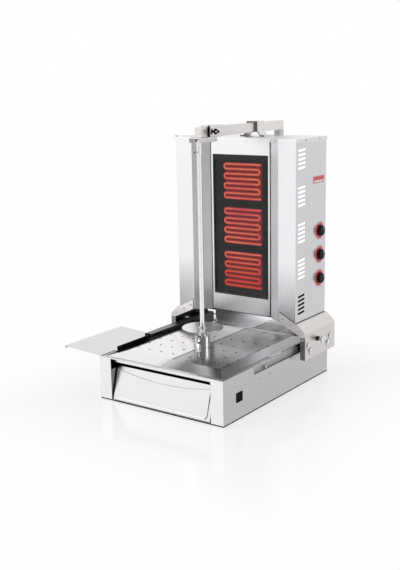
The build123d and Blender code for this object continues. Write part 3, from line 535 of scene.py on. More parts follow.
def build_materials(tints):
    """Every finish by its short name."""
    steel, polish, bars = tuple(tints.steel), tuple(tints.polish), tuple(tints.bars)
    red, black, heat = tuple(tints.red), tuple(tints.black), tints.heat
    painted_highlight_from, painted_highlight_to = at(0, 110, 0).y, at(0, 250, 0).y
    return {
        "casing": brushed("casing_steel", shade(steel, 0.76), "y", 0.3),
        # Front faces brighter than the casing's sides: painted light.
        "front": brushed("front_steel", shade(steel, 1.3), "x", 0.3, 0.01, 0.03),
        "shelf": brushed("shelf_steel", shade(steel, 0.98), "x", 0.16, 0.012, 0.04),
        "flare": brushed("flare_steel", shade(steel, 0.9), "z", 0.32, 0.015, 0.05),
        # Right flare brighter than the left: painted light.
        "painted_lit_flare": brushed(
            "soft_flare_steel", shade(steel, 1.25), "z", 0.55, 0.015, 0.05),
        "drawer": brushed("drawer_steel", shade(steel, 1.19), "x", 0.3, 0.01, 0.03),
        "line": brushed("line_steel", shade(steel, 0.86), "x", 0.4, 0.02, 0.05),
        "column": brushed("column_steel", shade(steel, 0.9), "z", 0.27, 0.015, 0.05),
        "lid": polished("lid_steel", steel, 0.2),
        # Front faces of the column: painted light, brighter than its sides; darker towards the
        # bottom.
        "panel": ramped(
            "panel_front_steel", shade(steel, 1.3), "z", 0.19, 0.40, 0.32, 0.99, 0.28),
        "tray": tray_skin("tray_steel", polish),
        # Right slope of the right tray: painted highlight, brighter towards the back.
        "slope": ramped(
            "slope_steel", polish, "y", painted_highlight_from, painted_highlight_to, 0.55, 1.1, 0.4, 1),
        # Splash under the column: painted reflection, bright on the left, fading to painted shade,
        # nearly black on the right.
        "splash": ramped("splash_steel", polish, "x", 0.13, 0.19, 1.1, 0.04, 0.3, 0),
        # Near-black steel: painted shade and painted dark reflection on faces in the gaps beside
        # the trays, the shelf, the saddle, the rails and the brackets.
        "painted_dark": polished("channel_steel", shade(polish, 0.11), 0.25),
        "disc": brushed("disc_steel", shade(polish, 0.8), "x", 0.3),
        "bracket": brushed("bracket_steel", shade(bars, 1.1), "y", 0.3, 0.02),
        # Darker copy of the bracket steel for the brackets' noses: painted shade.
        "shade": brushed("bracket_front_steel", shade(bars, 0.4), "x", 0.35, 0.04),
        "rail": brushed("rail_steel", shade(bars, 1.2), "y", 0.28),
        # Left rail much darker than the right: painted shade.
        "painted_shade_rail": brushed("dull_rail_steel", shade(bars, 0.3), "y", 0.35),
        "arm": brushed("arm_steel", shade(bars, 1.22), "y", 0.34, 0.02),
        "mast": brushed("mast_steel", shade(bars, 0.86), "z", 0.34, 0.02),
        "spit": bright("spit_steel", (0.94, 0.94, 0.95), 0.1),
        "zinc": bright("zinc_plate", (0.62, 0.62, 0.63), 0.2),
        "dome": bright("bolt_steel", (0.8, 0.8, 0.8), 0.08),
        "cast": cast("cast_alloy", (0.45, 0.45, 0.46)),
        "motor": cast("motor_paint", (0.06, 0.065, 0.075), 0.45, 0.0),
        # Dark steel: scorched on the clips and the glass frame, painted shade on the lock nuts.
        "dark": cast("scorched_steel", (0.035, 0.034, 0.033), 0.6, 0.6),
        "glass": dark_glass("ceramic_glass"),
        "rim": moulded("glass_rim", (0.009, 0.009, 0.0095), 0.06, 0.0, 0.000005, 0.42),
        "element": heated("hot_element", tuple(tints.glow), (1.0, 0.04, 0.03), heat * 0.7),
        "core": heated("hot_core", (1.0, 0.17, 0.15), (1.0, 0.27, 0.13), heat * 1.3),
        "board": scorched("fibre_board", heat),
        # Glowing sheets under the column, behind the slots and in the right rail's slot: painted
        # light.
        "under": painted_light_liner("under_sheet", 0.3),
        "liner": painted_light_liner("slot_liner", 0.55),
        "painted_slot_light": painted_light_liner("wear_strip", 0.02, 0.55),
        "rubber": moulded("pad_rubber", (0.02, 0.02, 0.02), 0.75, 0.0, 0.0002),
        # Black for real seams and for strips of painted shade and painted shadow.
        "seal_and_painted_shade": moulded("black_seal", (0.006, 0.006, 0.006), 0.6, 0.0, 0.00005, 0.0),
        "black": moulded("black_plastic", black, 0.4, 0.0, 0.00004, 0.08),
        "switch": moulded("switch_black", shade(black, 0.7), 0.35, 0.0, 0.00003, 0.03),
        "knob": moulded("knob_black", black, 0.3, 0.03, 0.00003, 0.15),
        "red": moulded("dial_red", red, 0.3, 0.3, 0.00002),
        "enamel": moulded("pale_enamel", (0.86, 0.70, 0.70), 0.35, 0.2, 0.00002),
        "mark": moulded("white_mark", (0.85, 0.85, 0.84), 0.4, 0.0, 0.00002),
    }


def by_name(groups):
    """One entry for each name in groups of names."""
    return {name: group for group, names in groups.items() for name in names.split()}


# The nodes that have each finish
NODE_FINISH = by_name({
    "casing": "base_casing drawer_guides drawer_box",
    "rubber": "rubber_feet",
    "tray": "rear_deck drip_pan tray_left tray_right",
    "painted_shade_rail": "rail_left",
    "rail": "rail_right mast_foot",
    "zinc": "stop_pins motor_bracket mast_bolts drive_shaft bracket_bolts lock_screw_left"
            " lock_screw_right",
    "cast": "gearbox bearing_housing",
    "motor": "gearmotor",
    "switch": "switch_bezel rocker",
    "black": "cable_gland glide_bushes regulators thumb_screw roller_left_front"
             " roller_left_rear roller_right_front roller_right_rear",
    "arm": "arm saddle top_slider spit_holder",
    "mast": "mast",
    "drawer": "drawer_front",
    "shelf": "side_shelf",
    "spit": "drive_socket spit_rod",
    "disc": "meat_disc",
    "column": "side_panel_left side_panel_right front_panel column_floor rear_cover",
    "lid": "top_cover",
    "liner": "slot_liners",
    "glass": "ceramic_glass",
    "dark": "glass_frame",
    "board": "heater_pans",
    "element": "heating_elements",
    "bracket": "bracket_left bracket_right",
    "enamel": "dial_plates",
    "red": "side_plate",
    "knob": "knob_1 knob_2 knob_3",
})

finishes = {}


# Modelling


MERGE_WITHIN = 2e-6
SMOOTH_BELOW = 40
FOLD_FROM, FOLD_TO = 0.05, 0.5


def clear():
    """Leave edit mode and select nothing."""
    if bpy.context.object and bpy.context.object.mode != "OBJECT":
        bpy.ops.object.mode_set(mode="OBJECT")
    bpy.ops.object.select_all(action="DESELECT")


def opened():
    """Put the new primitive's place into its mesh and open it for editing."""
    bpy.ops.object.transform_apply(location=True, rotation=True, scale=True)
    bpy.ops.object.mode_set(mode="EDIT")
    bpy.ops.mesh.select_mode(type="FACE")
    bpy.ops.mesh.select_all(action="SELECT")
    return bpy.context.object


def block(low, high):
    """A box between two corners, open for editing."""
    clear()
    low, high = Vector(low), Vector(high)
    bpy.ops.mesh.primitive_cube_add(size=1, location=(low + high) / 2, scale=high - low)
    return opened()


def choose(piece, test):
    """Select the faces whose middle and direction pass the test."""
    bpy.ops.mesh.select_mode(type="FACE")
    bpy.ops.mesh.select_all(action="DESELECT")
    shape = bmesh.from_edit_mesh(piece.data)
    shape.normal_update()
    for face in shape.faces:
        if test(face.calc_center_median(), face.normal):
            face.select_set(True)
    bmesh.update_edit_mesh(piece.data)


def holed(piece, test):
    """Take away two faces that look apart and join the rims they leave."""
    choose(piece, test)
    bpy.ops.mesh.delete(type="FACE")
    bpy.ops.mesh.select_mode(type="EDGE")
    bpy.ops.mesh.select_all(action="DESELECT")
    bpy.ops.mesh.select_non_manifold(extend=False)
    bpy.ops.mesh.bridge_edge_loops()


def turned(place, direction, profile, sides=32, hollow=False):
    """Draw a disc out along rings of radius and offset in mm; hollow joins its two ends."""
    clear()
    radius, offset = profile[0]
    flat = [1 if abs(part) > 0.5 else 0 for part in direction]
    turn = (0, math.pi / 2, 0) if flat[0] else (math.pi / 2, 0, 0) if flat[1] else (0, 0, 0)
    bpy.ops.mesh.primitive_circle_add(
        vertices=sides, radius=radius * MM, fill_type="NGON", rotation=turn,
        location=place + direction * offset * MM,
    )
    piece = opened()
    for next_radius, next_offset in profile[1:]:
        step = direction * (next_offset - offset) * MM
        bpy.ops.mesh.extrude_region_move(TRANSFORM_OT_translate={"value": step})
        share = next_radius / radius
        bpy.ops.transform.resize(
            value=[1 if part else share for part in flat],
            center_override=place + direction * next_offset * MM,
        )
        radius, offset = next_radius, next_offset
    if hollow:
        holed(piece, lambda spot, way: (spot - place).cross(direction).length < 1e-5)
    return piece


def plate(points, step):
    """A flat piece through the given points, drawn out by a step."""
    clear()
    bpy.ops.mesh.primitive_circle_add(vertices=len(points), radius=0.01, fill_type="NGON")
    piece = opened()
    shape = bmesh.from_edit_mesh(piece.data)
    for corner, point in zip(shape.verts, points):
        corner.co = point
    bmesh.update_edit_mesh(piece.data)
    bpy.ops.mesh.select_all(action="SELECT")
    bpy.ops.mesh.extrude_region_move(TRANSFORM_OT_translate={"value": step})
    return piece


def soften(piece, width, segments=2, angle=30):
    """Break the sharp edges and keep the flat faces flat."""
    if width:
        edge = piece.modifiers.new("edges", "BEVEL")
        edge.width = width
        edge.segments = segments
        edge.limit_method = "ANGLE"
        edge.angle_limit = math.radians(angle)
        edge.use_clamp_overlap = True
        bpy.ops.object.modifier_apply(modifier="edges")
    bpy.ops.object.shade_smooth_by_angle(angle=math.radians(SMOOTH_BELOW))
    level = piece.modifiers.new("level", "WEIGHTED_NORMAL")
    level.keep_sharp = True
    bpy.ops.object.modifier_apply(modifier="level")


def closed(piece, width=0.0, segments=2):
    """Merge doubles, turn the faces outwards, leave edit mode and break the edges."""
    bpy.ops.mesh.select_all(action="SELECT")
    bpy.ops.mesh.remove_doubles(threshold=MERGE_WITHIN)
    bpy.ops.mesh.normals_make_consistent(inside=False)
    bpy.ops.object.mode_set(mode="OBJECT")
    soften(piece, width, segments)
    return piece


def rimmed(piece, outward, margin, depth=0.0, both=False):
    """Inset the face that looks outward, or both it and its opposite, by a margin in mm."""
    choose(piece, lambda spot, way: (abs(way.dot(outward)) if both else way.dot(outward)) > 0.9)
    bpy.ops.mesh.inset(thickness=margin * MM, depth=depth * MM)
    return piece


def strip(low, high, outward=None, margin=0.0, depth=0.0, edge=0.0, both=False):
    """A thin block between two corners, with an inset margin and broken edges, in mm."""
    piece = block(low, high)
    if outward:
        rimmed(piece, outward, margin, depth, both)
    return closed(piece, edge * MM)


def pair(across, deep, tall, *shape, **more):
    """The same strip on the left and on the right of the spit's plane."""
    made = []
    for side in (-1, 1):
        low, high = sorted(side * place for place in across)
        ends = at(low, deep[0], tall[0]), at(high, deep[1], tall[1])
        made.append(strip(*ends, *shape, **more))
    return made


def twin(name, mesh):
    """A new object with its own copy of a mesh."""
    made = bpy.data.objects.new(name, mesh.copy())
    bpy.context.scene.collection.objects.link(made)
    return made


def spread(piece, moves):
    """Copy a finished shape to each place, each copy with its own mesh, and join them."""
    made = []
    for move in moves:
        made.append(twin(piece.name, piece.data))
        made[-1].data.transform(move)
    bpy.data.objects.remove(piece)
    return joined(made)


def joined(pieces):
    """Make one object of several."""
    clear()
    for piece in pieces:
        piece.select_set(True)
    bpy.context.view_layer.objects.active = pieces[0]
    if len(pieces) > 1:
        bpy.ops.object.join()
    return bpy.context.object


def fitted(piece, name, finish, body, replaced=()):
    """Name a finished piece, give it its finish and let it ride on its body."""
    piece.name = name
    piece.data.name = name
    piece.data.materials.clear()
    piece.data.materials.append(finishes[finish])
    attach(piece, body)
    if replaced:
        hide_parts(*replaced)
    return piece


def formed(name, width, segments=2, angle=30, crease=0.0):
    """A copy of a solid with its edges broken and its folds rounded, which stands for it."""
    clear()
    piece = twin(name + "_formed", nodes[name].data)
    piece.select_set(True)
    bpy.context.view_layer.objects.active = piece
    bpy.ops.object.mode_set(mode="EDIT")
    bpy.ops.mesh.select_all(action="SELECT")
    bpy.ops.mesh.remove_doubles(threshold=MERGE_WITHIN)
    bpy.ops.mesh.dissolve_limited(angle_limit=math.radians(1))
    if crease:
        bpy.ops.mesh.select_mode(type="EDGE")
        bpy.ops.mesh.select_all(action="DESELECT")
        shape = bmesh.from_edit_mesh(piece.data)
        for edge in shape.edges:
            if len(edge.link_faces) == 2 and FOLD_FROM < edge.calc_face_angle() < FOLD_TO:
                edge.select_set(True)
        bmesh.update_edit_mesh(piece.data)
        bpy.ops.mesh.bevel(offset=crease, segments=3, affect="EDGES", clamp_overlap=True)
    bpy.ops.object.mode_set(mode="OBJECT")
    soften(piece, width, segments, angle)
    body = nodes[name]["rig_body"]
    return fitted(piece, name + "_formed", NODE_FINISH[name], body, (name,))


def faced(piece, finish, test):
    """Give the faces whose direction and middle pass the test a finish of their own."""
    piece.data.materials.append(finishes[finish])
    for face in piece.data.polygons:
        if test(face.normal, in_mm(face.center)):
            face.material_index = len(piece.data.materials) - 1


def set_at(place, direction):
    """Move a shape drawn along Z to a place and turn it to look along a direction."""
    return Matrix.Translation(place) @ direction.to_track_quat("Z", "Y").to_matrix().to_4x4()


class GRILL_OT_finishes(bpy.types.Operator):
    """Give every solid of the grill its finish"""

    bl_idname = "grill.finishes"
    bl_label = "Finishes"

    def execute(self, context):
        finishes.update(build_materials(context.scene.grill_finishes))
        for name, piece in nodes.items():
            piece.data.materials.clear()
            piece.data.materials.append(finishes[NODE_FINISH[name]])
        return {"FINISHED"}


SHEETS = (
    "base_casing", "rear_deck", "rail_left", "rail_right", "drawer_front", "drawer_box",
    "side_shelf", "side_panel_left", "side_panel_right", "front_panel", "top_cover",
    "rear_cover", "column_floor", "bracket_left", "bracket_right", "saddle", "mast_foot",
    "tray_left", "tray_right", "spit_holder",
)
BARS = ("arm", "mast", "top_slider", "switch_bezel", "rocker", "ceramic_glass")
TURNED = (
    "drive_socket", "spit_rod", "meat_disc", "cable_gland", "glide_bushes", "mast_bolts",
    "roller_left_front", "roller_left_rear", "roller_right_front", "roller_right_rear",
    "stop_pins",
)
TRAY_FOLD = 0.0025
LIP_DEPTH = 13
LIP_DROP, LIP_ZONE = 0.011, 0.02
SLOT_GROUP = 100


def to_front(way, spot):
    """Faces square to the front."""
    return way.y < -0.95


def on_flare(way, spot):
    """The slanting faces at a side panel's front edge."""
    return way.y < -0.3 and 0.3 < abs(way.x) < 0.95


def beside_teeth(way, spot):
    """The upright faces between a rail's teeth."""
    return abs(way.z) < 0.3 and 246 < abs(spot.x) < 252.8 and spot.y > 300


# Faces of a sheet with a finish of their own, by their direction and their place in mm
FACES = {
    # Painted light: front faces brighter than the sides, the right flare brighter than the left.
    "base_casing": [("front", to_front)],
    "side_panel_left": [("panel", to_front), ("flare", on_flare)],
    "side_panel_right": [("panel", to_front), ("painted_lit_flare", on_flare)],
    "front_panel": [("panel", to_front)],
    # Painted shade in the gaps and black between the rails' teeth, a painted glow under the column,
    # painted reflection and shade on the splash, a painted highlight on the right slope.
    "tray_left": [("painted_dark", lambda way, spot: way.x < -0.15 and abs(way.y) < 0.3)],
    "tray_right": [("slope", lambda way, spot: way.x > 0.15 and abs(way.y) < 0.3)],
    "side_shelf": [("painted_dark", lambda way, spot: spot.x > -227 and way.x > -0.5)],
    "rear_deck": [("splash", lambda way, spot: way.y < -0.9 and spot.z > 143)],
    "saddle": [("painted_dark", lambda way, spot: way.y < -0.3)],
    "rail_left": [
        ("painted_dark", lambda way, spot: way.y < -0.9 and spot.y > 240), ("seal_and_painted_shade", beside_teeth),
    ],
    "rail_right": [("seal_and_painted_shade", beside_teeth)],
    "top_cover": [("front", lambda way, spot: way.y < -0.9)],
    "column_floor": [("under", lambda way, spot: way.z < -0.9)],
    "bracket_left": [("painted_dark", lambda way, spot: way.x > 0.9)],
    "bracket_right": [("painted_dark", lambda way, spot: way.x < -0.9)],
}


def drawer_lean():
    """How far the drawer's front leans back for each mm of its height."""
    low, high = span("drawer_front")
    return (high.y - LIP_DEPTH - low.y) / (high.z - low.z)


def lower_lip(piece):
    """Let the drawer's lip down along its leaning face, which opens the gap over it."""
    top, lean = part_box("drawer_front")[1].z, drawer_lean()
    for corner in piece.data.vertices:
        if corner.co.z > top - LIP_ZONE:
            corner.co += Vector((0, -LIP_DROP * lean, -LIP_DROP))


class GRILL_OT_edges(bpy.types.Operator):
    """Break the edges of the sheets, bars and turned pieces"""

    bl_idname = "grill.edges"
    bl_label = "Broken edges"

    def execute(self, context):
        width = context.scene.grill_sizes.sheet_edge
        for name in SHEETS:
            piece = formed(name, width, crease=TRAY_FOLD if name.startswith("tray") else 0.0)
            for finish, test in FACES.get(name, ()):
                faced(piece, finish, test)
            if name == "drawer_front":
                lower_lip(piece)
        for name in BARS:
            formed(name, 1.6 * width, 3)
        # The lowest group of slots is backed black: painted shade.
        lowest_group = span("slot_liners")[0].z + SLOT_GROUP
        liners = formed("slot_liners", 0.2 * width)
        faced(liners, "seal_and_painted_shade", lambda way, spot: spot.z < lowest_group)
        for name in TURNED:
            formed(name, width, 2, 40)
        formed("heater_pans", 0.6 * width).visible_glossy = False
        return {"FINISHED"}


ELEMENT_RUNS = 8
ELEMENT_PITCH = 0.0163
ELEMENT_FLAT, CORE_FLAT = 0.36, 0.4
CORE_SHARE = 0.24
CORE_PROUD = 0.0017
CLIP_PLACE = 0.6


def serpentine(start, reach, bend, radius, flat):
    """A flat bar drawn to and fro in runs, with a spun bend between each two."""
    clear()
    bpy.ops.mesh.primitive_circle_add(
        vertices=12, radius=radius, fill_type="NGON", location=start,
        rotation=(0, math.pi / 2, 0),
    )
    bar = opened()
    bpy.ops.transform.resize(value=(1, flat, 1), center_override=start)
    middle_x, here, side = start.x - reach, start.x, -1
    for run in range(ELEMENT_RUNS):
        last = run == ELEMENT_RUNS - 1
        end = middle_x + side * (reach - (0 if last else bend))
        bpy.ops.mesh.extrude_region_move(TRANSFORM_OT_translate={"value": (end - here, 0, 0)})
        here = end
        if not last:
            turn = (end, start.y, start.z - (run + 0.5) * ELEMENT_PITCH)
            bpy.ops.mesh.spin(steps=10, angle=-side * math.pi, center=turn, axis=(0, 1, 0))
            side = -side
    return closed(bar)


class GRILL_OT_elements(bpy.types.Operator):
    """Fold each heating element to and fro, with a brighter core and dark clips"""

    bl_idname = "grill.elements"
    bl_label = "Heating elements"

    def execute(self, context):
        bar = context.scene.grill_sizes.element_bar
        low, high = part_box("heating_elements")
        reach = (high.x - low.x) / 2
        centre_x = (high.x + low.x) / 2 - ELEMENT_SHIFT * MM
        y = low.y + 1.5 * MM
        bend = (ELEMENT_PITCH + bar) / 2
        stack = (ELEMENT_RUNS - 1) * ELEMENT_PITCH + bar
        zone_pitch = (high.z - low.z - stack) / 2
        clip_half = bar / 2 + 0.001
        tubes, cores, clips = [], [], []
        for zone in range(3):
            top = high.z - bar / 2 - zone * zone_pitch
            start = Vector((centre_x + reach, y, top))
            tubes.append(serpentine(start, reach, bend, bar / 2, ELEMENT_FLAT))
            start.y -= CORE_PROUD
            cores.append(serpentine(start, reach, bend, bar * CORE_SHARE, CORE_FLAT))
            for x in (centre_x - CLIP_PLACE * reach, centre_x + CLIP_PLACE * reach):
                for run in range(ELEMENT_RUNS):
                    z = top - run * ELEMENT_PITCH
                    clips.append(strip(
                        (x - 0.002, y + 0.0012, z - clip_half),
                        (x + 0.002, y + 0.0165, z + clip_half), Y, 0.8, edge=0.3,
                    ))
        for runs, name, finish, replaced in (
            (tubes, "element_tubes", "element", ("heating_elements",)),
            (cores, "element_cores", "core", ()),
        ):
            fitted(joined(runs), name, finish, "heater_column", replaced).visible_glossy = False
        fitted(joined(clips), "element_clips", "dark", "heater_column")
        return {"FINISHED"}


class GRILL_OT_glass_trim(bpy.types.Operator):
    """Lay a dark rim round the glass and a line of painted shade in each corner beside the panel"""

    bl_idname = "grill.glass_trim"
    bl_label = "Glass trim"

    def execute(self, context):
        half, wide = glass_high.x - 3.2, 5.6
        low_z, high_z = glass_low.z + 2.5, glass_high.z - 4.0
        front, back = panel_low.y - 0.5, panel_low.y + 0.05
        rim = pair((half - wide, half), (front, back), (low_z, high_z), edge=0.3)
        for z, tall in ((low_z, 9.0), (high_z - 15.0, 15.0)):
            rim.append(strip(
                at(wide - half, front, z), at(half - wide, back, z + tall), edge=0.3))
        fitted(joined(rim), "glass_rim", "rim", "heater_column")
        # Black strips in the corners beside the panel: painted shade, wider on the right.
        corners = []
        for side, wide in ((-1, 1.4), (1, 3.0)):
            x = side * (panel_high.x + 0.2)
            corners.append(strip(
                at(x - wide / 2, panel_low.y - 1.3, column_bottom + 2),
                at(x + wide / 2, panel_low.y - 0.1, column_top - 7), edge=0.3,
            ))
        fitted(joined(corners), "corner_seals", "seal_and_painted_shade", "heater_column")
        return {"FINISHED"}


def side_number(way, sides):
    """Which side of a piece turned along X a face is on."""
    return round(math.atan2(way.z, way.y) * sides / (2 * math.pi))


KNOB_SIDES, HEAD_SIDES, THUMB_SIDES = 60, 40, 36


class GRILL_OT_knobs(bpy.types.Operator):
    """Turn the three knobs, flute their sides and mark their pointers"""

    bl_idname = "grill.knobs"
    bl_label = "Knobs"

    def execute(self, context):
        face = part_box("dial_plates")[1].x
        for name in KNOBS:
            centre = middle(name)
            place = Vector((face, centre.y, centre.z))
            body = turned(place, X, (
                (18.2, 0.5), (18.8, 0.9), (18.8, 2.4), (17.6, 3.0), (17.2, 9.6), (16.4, 11.3),
                (14.6, 12.4), (9.0, 13.0), (0.6, 13.1)), KNOB_SIDES)
            choose(body, lambda spot, way: (
                0.0055 < spot.x - face < 0.0066 and side_number(way, KNOB_SIDES) % 3 == 0))
            bpy.ops.mesh.inset(thickness=0.0003, depth=-0.0007, use_individual=True)
            body = closed(body)
            rib = block(
                place + Vector((0.008, -0.0038, -0.0150)), place + Vector((0.0145, 0.0038, 0.0150))
            )
            choose(rib, lambda spot, way: way.x > 0.9)
            bpy.ops.transform.resize(value=(1, 0.7, 0.86), center_override=centre)
            rib = closed(rib, 0.0011, 3)
            fitted(joined([body, rib]), name + "_turned", "knob", name, (name,))
            mark = strip(
                place + Vector((0.0140, -0.0006, 0.0045)),
                place + Vector((0.0147, 0.0006, 0.0120)), X, 0.2, edge=0.1,
            )
            fitted(mark, name + "_pointer", "mark", name)
        return {"FINISHED"}


class GRILL_OT_dials(bpy.types.Operator):
    """Make the dials: pale plates with a red centre, a red ring and ticks"""

    bl_idname = "grill.dials"
    bl_label = "Dials"

    def execute(self, context):
        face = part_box("dial_plates")[0].x
        moves = [
            Matrix.Translation((face, middle(name).y, middle(name).z)) for name in KNOBS
        ]
        disc = closed(turned(ORIGIN, X, (
            (29.7, 0.0), (30, 0.2), (30, 0.6), (29.7, 0.8), (4.5, 0.8), (4.5, 0.0)), 72, True))
        fitted(spread(disc, moves), "dial_faces", "enamel", "heater_column", ("dial_plates",))
        red = [
            closed(turned(ORIGIN, X, profile, 72, True)) for profile in (
                ((27.2, 0.7), (27.2, 0.95), (26.9, 1.05), (4.5, 1.05), (4.5, 0.7)),
                ((29.6, 0.7), (29.6, 1.0), (28.7, 1.0), (28.7, 0.7)),
            )
        ]
        ticks = []
        for step in range(11):
            long = 2.4 if step % 5 == 0 else 1.5
            tick = strip(
                Vector((0.9, -0.5, 24.0 - long)) * MM, Vector((1.2, 0.5, 24.0)) * MM, X, 0.1)
            tick.data.transform(Matrix.Rotation(math.radians(27 * step - 135), 4, "X"))
            ticks.append(tick)
        fitted(spread(joined(red), moves), "dial_marks", "red", "heater_column")
        fitted(spread(joined(ticks), moves), "dial_ticks", "mark", "heater_column")
        return {"FINISHED"}


class GRILL_OT_side_plate(bpy.types.Operator):
    """Make the bare side plate: a red rim and band on pale enamel"""

    bl_idname = "grill.side_plate"
    bl_label = "Side plate"

    def execute(self, context):
        low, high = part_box("side_plate")
        base = strip(low, (low.x + 0.0007, high.y, high.z), edge=0.3)
        fitted(base, "plate_base", "enamel", "heater_column", ("side_plate",))
        x, centre = low.x + 0.0006, (low + high) / 2
        rim = block(
            (x, low.y + 0.0006, low.z + 0.0006), (x + 0.0003, high.y - 0.0006, high.z - 0.0006)
        )
        rimmed(rim, X, 2.2, both=True)
        holed(rim, lambda spot, way: abs(way.x) > 0.9 and abs(
            spot.y - centre.y) < 0.001 and abs(spot.z - centre.z) < 0.001)
        rim = closed(rim)
        split = low.z + 0.42 * (high.z - low.z)
        band = strip(
            (x, low.y + 0.0036, split), (x + 0.0003, high.y - 0.0036, high.z - 0.0036), X, 0.2
        )
        fitted(joined([rim, band]), "plate_red", "red", "heater_column")
        return {"FINISHED"}


AXLES = ((457.6, 124.3), (576.4, 124.3), (443.3, 144.6), (592.9, 144.6))


class GRILL_OT_bolts(bpy.types.Operator):
    """Set washers and domed heads with sockets on the axle bolts, with dark rings of painted shade
    round them
    """

    bl_idname = "grill.bolts"
    bl_label = "Axle bolts"

    def execute(self, context):
        radius = context.scene.grill_sizes.dome_radius / MM
        dome = closed(turned(ORIGIN, Z, (
            (radius, 0.9), (radius, 2.2), (radius - 0.5, 3.6), (radius - 1.7, 5.0),
            (radius - 3.6, 6.0), (2.9, 6.3), (2.6, 6.2), (2.5, 4.6)), 32))
        washer = closed(turned(ORIGIN, Z, (
            (radius + 1.6, 0.0), (radius + 1.8, 0.2), (radius + 1.8, 0.8),
            (radius + 1.6, 1.0)), 32))
        # A flat black ring round each head: painted shade at its foot.
        ring = closed(turned(ORIGIN, Z, (
            (radius + 2.9, 0.05), (radius + 2.9, 0.35), (radius + 1.0, 0.35),
            (radius + 1.0, 0.05)), 32, True))
        moves = [
            set_at(at(side * bracket_high.x, y, z), X * side) for side in (-1, 1) for y, z in AXLES
        ]
        fitted(spread(joined([dome, washer]), moves), "bolt_domes", "dome", "heater_column")
        fitted(spread(ring, moves), "bolt_rings", "seal_and_painted_shade", "heater_column")
        return {"FINISHED"}


class GRILL_OT_lock_screws(bpy.types.Operator):
    """Turn the two locking screws with thread, knurled head and a nut on the bracket"""

    bl_idname = "grill.lock_screws"
    bl_label = "Locking screws"

    def execute(self, context):
        nuts = []
        for name, side in (("lock_screw_left", -1), ("lock_screw_right", 1)):
            low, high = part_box(name)
            centre = (low + high) / 2
            start, end = (low.x, high.x) if side > 0 else (high.x, low.x)
            length = abs(end - start) / MM
            place = Vector((start, centre.y, centre.z))
            thread = [(1.6, 0.0), (2.5, 0.8), (2.5, 4.2), (3.7, 5.0)]
            for turn in range(14):
                thread += [(3.95, 5.4 + turn * 1.5), (3.55, 6.1 + turn * 1.5)]
            thread += [
                (3.6, length - 9), (6.5, length - 8.4), (6.5, length - 6.2),
                (10.4, length - 6.0), (11.0, length - 5.4), (11.0, length - 0.6),
                (10.4, length), (6.0, length), (5.6, length - 0.5), (0.6, length - 0.7),
            ]
            screw = turned(place, X * side, thread, HEAD_SIDES)
            choose(screw, lambda spot, way: (
                abs(abs(spot.x - end) - 0.003) < 0.0006
                and (spot - centre).cross(X).length > 0.0105
                and side_number(way, HEAD_SIDES) % 2 == 0))
            bpy.ops.mesh.inset(thickness=0.0002, depth=-0.0006, use_individual=True)
            fitted(closed(screw), name + "_turned", "dome", name, (name,))
            face = Vector((at(side * bracket_high.x, 0, 0).x, centre.y, centre.z))
            nuts.append(closed(turned(face, X * side, (
                (8.4, 0.0), (8.4, 5.2), (7.6, 6.0), (4.7, 6.0), (4.3, 5.5), (4.3, 0.0)),
                6, True), 0.0003))
        # The nuts' near-black colour is painted shade.
        fitted(joined(nuts), "lock_nuts", "dark", "heater_column")
        return {"FINISHED"}


class GRILL_OT_thumb_screw(bpy.types.Operator):
    """Turn the thumb screw of the top slider and give it a cross bar"""

    bl_idname = "grill.thumb_screw"
    bl_label = "Thumb screw"

    def execute(self, context):
        low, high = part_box("thumb_screw")
        centre = (low + high) / 2
        screw = turned(Vector((low.x, centre.y, centre.z)), X, (
            (3.4, 0.0), (3.9, 0.5), (3.9, 12.9), (6.8, 13.3), (7.6, 14.2), (7.6, 18.5),
            (6.6, 19.4), (4.6, 19.6), (4.4, 24.0), (5.4, 24.4), (5.4, 27.0), (4.6, 27.9),
            (0.6, 28.1)), THUMB_SIDES)
        choose(screw, lambda spot, way: (
            abs(spot.x - low.x - 0.0164) < 0.002 and abs(way.x) < 0.1
            and side_number(way, THUMB_SIDES) % 6 in (0, 1, 5)))
        bpy.ops.mesh.extrude_region_move(TRANSFORM_OT_translate={"value": (0, 0, 0)})
        bpy.ops.transform.resize(value=(0.9, 1.24, 1.24), center_override=centre)
        screw = closed(screw, 0.0004)
        fitted(screw, "thumb_screw_turned", "black", "thumb_screw", ("thumb_screw",))
        bar = turned(Vector((low.x + 0.0257, centre.y - 0.014, centre.z)), Y, (
            (1.2, 0.0), (1.7, 0.5), (1.7, 27.5), (1.2, 28.0)), 16)
        fitted(closed(bar), "thumb_bar", "dome", "thumb_screw")
        return {"FINISHED"}


